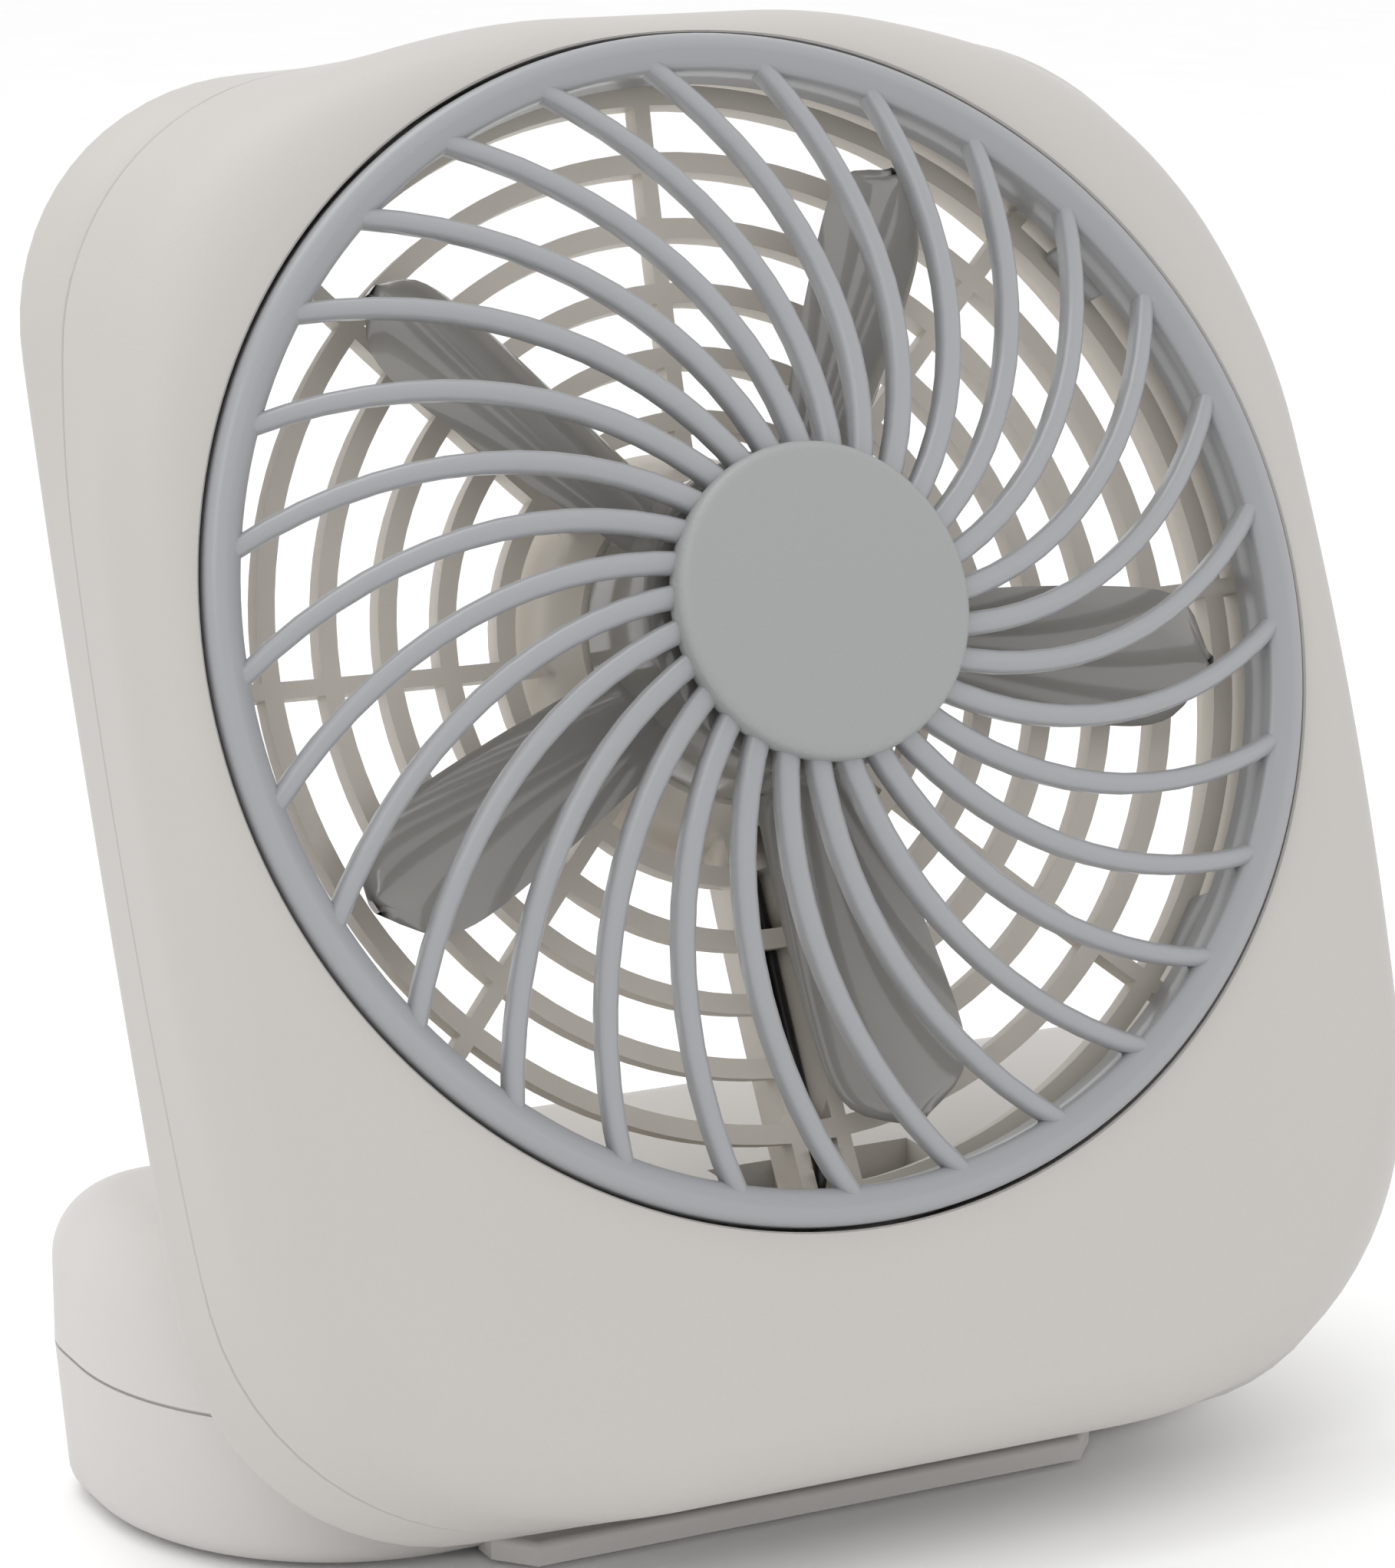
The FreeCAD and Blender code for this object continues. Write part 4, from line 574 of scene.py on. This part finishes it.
def rib_section(radius):
    """A rounded section of a rib, at a radius, as a loop of points."""
    angle = math.radians(RIB_RING_ANGLE - RIB_TURN * (RIB_OUTER - radius))
    slope = math.radians(RIB_TURN) * radius
    outward = Vector((math.cos(angle), 0, math.sin(angle)))
    sideways = Vector((-math.sin(angle), 0, math.cos(angle)))
    across = (outward + sideways * slope).normalized().cross(Vector((0, 1, 0)))
    share = (radius - RIB_INNER) / (RIB_OUTER - RIB_INNER)
    half = RIB_HALF_AT_HUB + (RIB_HALF_AT_RING - RIB_HALF_AT_HUB) * share
    front = -DOME_RISE * (1 - (radius / DOME_RADIUS) ** 2)
    centre = outward * radius
    points = []
    for step in range(9):
        turn = math.pi * step / 8
        depth = front + RIB_ROUND * (1 - math.sin(turn))
        points.append(centre + across * half * math.cos(turn) + Vector((0, depth, 0)))
    for side in (-1, 1):
        points.append(centre + across * half * RIB_BACK_SHARE * side + Vector((0, front + RIB_DEPTH, 0)))
    return points


def build_ribs(grille):
    """One rib, then its copies round the axis."""
    step_out = (RIB_OUTER + 1.2 - RIB_INNER) / (RIB_STATIONS - 1)
    radii = [RIB_INNER + step_out * station for station in range(RIB_STATIONS)]
    rib = bmesh.new()
    skin_loops(rib, [rib_section(radius) for radius in radii])
    bmesh.ops.holes_fill(rib, edges=[edge for edge in rib.edges if edge.is_boundary], sides=0)
    repeat_round(rib, rib.verts[:] + rib.edges[:] + rib.faces[:], RIB_COUNT)
    mesh = bpy.data.meshes.new("rib_stock")
    rib.to_mesh(mesh)
    rib.free()
    grille.from_mesh(mesh)
    bpy.data.meshes.remove(mesh)


def build_cap(grille):
    """The cap: a slightly raised disc with a rounded edge, and a skirt that meets the ribs."""
    profile = [(0.0, -12.35), (9.0, -12.3), (15.0, -12.15)]
    profile += arc_points((17.2, -10.6), 1.5, -90, -10, 6)
    profile += [(18.7, -9.6), (18.4, -8.2), (16.6, -7.6), (15.4, -9.6), (0.0, -9.8)]
    turn_profile(grille, profile, steps=96, closed=False)


def build_tabs(grille):
    """Four snap tabs that reach back from the ring into the duct."""
    for degrees in TAB_ANGLES:
        made = bmesh.ops.create_cube(grille, size=1.0)["verts"]
        bmesh.ops.scale(grille, vec=(1.5, 5.6, 8.0), verts=made)
        bmesh.ops.translate(grille, vec=(67.6, 9.2, 0), verts=made)
        bmesh.ops.rotate(grille, cent=(0, 0, 0), verts=made,
                         matrix=Matrix.Rotation(math.radians(-degrees), 3, "Y"))
        edges = list({edge for vert in made for edge in vert.link_edges})
        bmesh.ops.bevel(grille, geom=edges, offset=0.35, segments=2, profile=0.5, affect="EDGES", material=-1)


def build_front_grille():
    """Ring, ribs and tabs in one mesh."""
    grille = bmesh.new()
    build_ring(grille)
    build_ribs(grille)
    build_tabs(grille)
    return finish_mesh(grille, "swirl_grille", "head", sharp=math.radians(50))


swirl_grille = build_front_grille()
swirl_grille.data.materials.append(GRILLE_GREY)

cap_builder = bmesh.new()
build_cap(cap_builder)
hub_cap = finish_mesh(cap_builder, "hub_cap", "head", sharp=math.radians(50))
hub_cap.data.materials.append(CAP_GREY)
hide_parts("front_grille")

# %% [markdown]
# The impeller has a cup-shaped hub and five paddle blades. A real blade is a thin cambered sheet
# that twists from root to tip. A flat grid is bent to that form with a formula for the chord, the
# pitch and the camber at each radius, then it is given its thickness with the solidify operator and
# smoothed with a subdivision surface.

# %% Impeller
HUB_RADIUS = 19.5
TIP_RADIUS = 61.5
BLADE_COUNT = 5
BLADE_ANGLE = 351.4
BLADE_MID_Y = 6.0


def blade_edges(share):
    """Lower and upper edge of the paddle, across the blade, at a share of its length."""
    swell = 0.72 + 0.28 * math.sin(math.pi / 2 * min(share / 0.75, 1.0))
    tip = math.sqrt(max(1 - max((share - 0.74) / 0.26, 0.0) ** 2.6, 0.0))
    return -8.8 * swell * tip - 0.6 * (1 - tip), 8.4 * swell * tip - 0.6 * (1 - tip)


def build_blade(builder):
    """One blade along +X."""
    made = bmesh.ops.create_grid(builder, x_segments=16, y_segments=10, size=1.0)["verts"]
    start = HUB_RADIUS - 1.2
    for vert in made:
        share = (vert.co.x + 1) / 2
        side = (vert.co.y + 1) / 2
        radius = start + share * (TIP_RADIUS - 0.6 - start)
        low, high = blade_edges(share)
        across = low + side * (high - low)
        pitch = math.radians(32.0 - 9.0 * share)
        camber = 1.6 * (1 - (2 * side - 1) ** 2)
        depth = -across * math.sin(pitch) * 0.92 - camber
        vert.co = Vector((radius, BLADE_MID_Y + depth, across * math.cos(pitch)))
    bmesh.ops.solidify(builder, geom=builder.faces[:], thickness=1.5)


def build_impeller():
    """Blades round a turned hub."""
    blades = bmesh.new()
    build_blade(blades)
    bmesh.ops.rotate(blades, cent=(0, 0, 0), verts=blades.verts,
                     matrix=Matrix.Rotation(math.radians(-BLADE_ANGLE), 3, "Y"))
    repeat_round(blades, blades.verts[:] + blades.edges[:] + blades.faces[:], BLADE_COUNT)
    piece = finish_mesh(blades, "fan_blades", "rotor", sharp=math.radians(60))
    smooth = piece.modifiers.new("smooth", "SUBSURF")
    smooth.levels = 1
    smooth.render_levels = 1
    return piece


fan_blades = build_impeller()
fan_blades.data.materials.append(BLADE_GREY)

hub_builder = bmesh.new()
hub_profile = [(0.0, -5.4)] + arc_points((17.5, -3.5), 2.0, -90, 0, 6)
hub_profile += [(19.5, 12.4), (17.8, 12.4), (17.7, -2.0), (4.0, -2.6), (4.0, 6.2)]
hub_profile += [(1.05, 6.2), (1.05, -3.6), (0.0, -3.6)]
turn_profile(hub_builder, hub_profile, steps=96, closed=False)
blade_hub = finish_mesh(hub_builder, "blade_hub", "rotor")
blade_hub.data.materials.append(BLADE_GREY)
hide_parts("impeller")

# %% [markdown]
# The motor's two wires run down the channel behind the blades. The mechanical model lays them
# straight, side by side. Real wires are pushed in by hand and cross over, so these two are drawn
# again: the black one crosses in front of the cream one near the motor, and back near the hinge.

# %% Motor wires
WIRE_RADIUS = 0.75
WIRE_SIDES = 12


def dish_y(radius):
    """Depth of the rear grille's front face at a radius."""
    return 18.1 - 5.5 * (radius / 67.0) ** 2


def softened(points, rounds=3):
    """Cut each corner of a path again and again, so that it bends like a wire."""
    for _ in range(rounds):
        cut = [points[0]]
        for one, two in zip(points, points[1:]):
            cut += [one.lerp(two, 0.25), one.lerp(two, 0.75)]
        points = cut + [points[-1]]
    return points


def wire_section(centre, direction):
    """A circle of points across a wire."""
    across = direction.cross(Vector((1, 0, 0))).normalized()
    over = direction.cross(across).normalized()
    turns = [math.tau * side / WIRE_SIDES for side in range(WIRE_SIDES)]
    return [centre + (across * math.cos(turn) + over * math.sin(turn)) * WIRE_RADIUS for turn in turns]


def build_wire(name, side, crossing_depth):
    """One wire from its terminal on one side, along the other side of the channel, to the hinge."""
    resting_depth = 4.0
    run = ((23.5, side, 4.3), (27.5, 0, crossing_depth), (31.5, -side, resting_depth),
           (45.0, -side, resting_depth), (60.5, -side, resting_depth), (64.5, 0, crossing_depth),
           (68.5, side, resting_depth + 0.8))
    points = [Vector((3.2 * side, 28.5, -14.7)), Vector((3.2 * side, 28.5, -16.6)),
              Vector((1.4 * side, 24.9, -19.4))]
    points += [Vector((x, dish_y(radius) + depth, -radius)) for radius, x, depth in run]
    points += [Vector((side, 17.4, HINGE_Z)), Vector((side, 26.9, HINGE_Z)),
               Vector((1.1 * side, 32.5, HINGE_Z))]
    path = softened(points)
    wire = bmesh.new()
    ahead = path[1:] + [path[-1] * 2 - path[-2]]
    skin_loops(wire, [wire_section(point, after - point) for point, after in zip(path, ahead)])
    bmesh.ops.holes_fill(wire, edges=[edge for edge in wire.edges if edge.is_boundary], sides=0)
    return finish_mesh(wire, name, "head", sharp=math.radians(60))


black_wire = build_wire("black_wire_run", -1, 2.0)
black_wire.data.materials.append(WIRE_BLACK)
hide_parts("wire_black")
cream_wire = build_wire("cream_wire_run", 1, 4.2)
cream_wire.data.materials.append(WIRE_CREAM)
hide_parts("wire_cream")

# %% [markdown]
# A product shot wants an even, bright room. A pale floor that fades into a pale surround stands in
# for a paper sweep, a large soft lamp hangs at the front left, and weaker ones fill the right
# side and trace the top edge.

# %% Studio
floor_builder = bmesh.new()
bmesh.ops.create_grid(floor_builder, x_segments=1, y_segments=1, size=12.0)
floor_mesh = bpy.data.meshes.new("studio_floor")
floor_builder.to_mesh(floor_mesh)
floor_builder.free()
studio_floor = bpy.data.objects.new("studio_floor", floor_mesh)
bpy.context.collection.objects.link(studio_floor)
floor_mesh.materials.append(moulded("studio_paper", srgb(252, 252, 252), 0.9, grain=300.0, bump=0.0))

world = bpy.data.worlds.new("studio_surround")
world.use_nodes = True
world.node_tree.nodes["Background"].inputs["Color"].default_value = (1.0, 1.0, 1.0, 1.0)
world.node_tree.nodes["Background"].inputs["Strength"].default_value = 1.0
bpy.context.scene.world = world


def soft_lamp(name, place, size, power):
    """A square area lamp that faces the fan."""
    data = bpy.data.lights.new(name, "AREA")
    data.size = size
    data.energy = power
    lamp = bpy.data.objects.new(name, data)
    bpy.context.collection.objects.link(lamp)
    lamp.location = place
    lamp.rotation_euler = (HEAD_CENTRE - Vector(place)).to_track_quat("-Z", "Y").to_euler()
    return lamp


soft_lamp("key_lamp", (-0.7, -0.5, 0.9), 0.5, 1.1)
soft_lamp("fill_lamp", (0.9, -0.7, 0.5), 0.8, 0.5)
soft_lamp("top_lamp", (-0.2, 0.25, 1.0), 0.6, 2.4)
bpy.context.scene.view_settings.view_transform = "Standard"
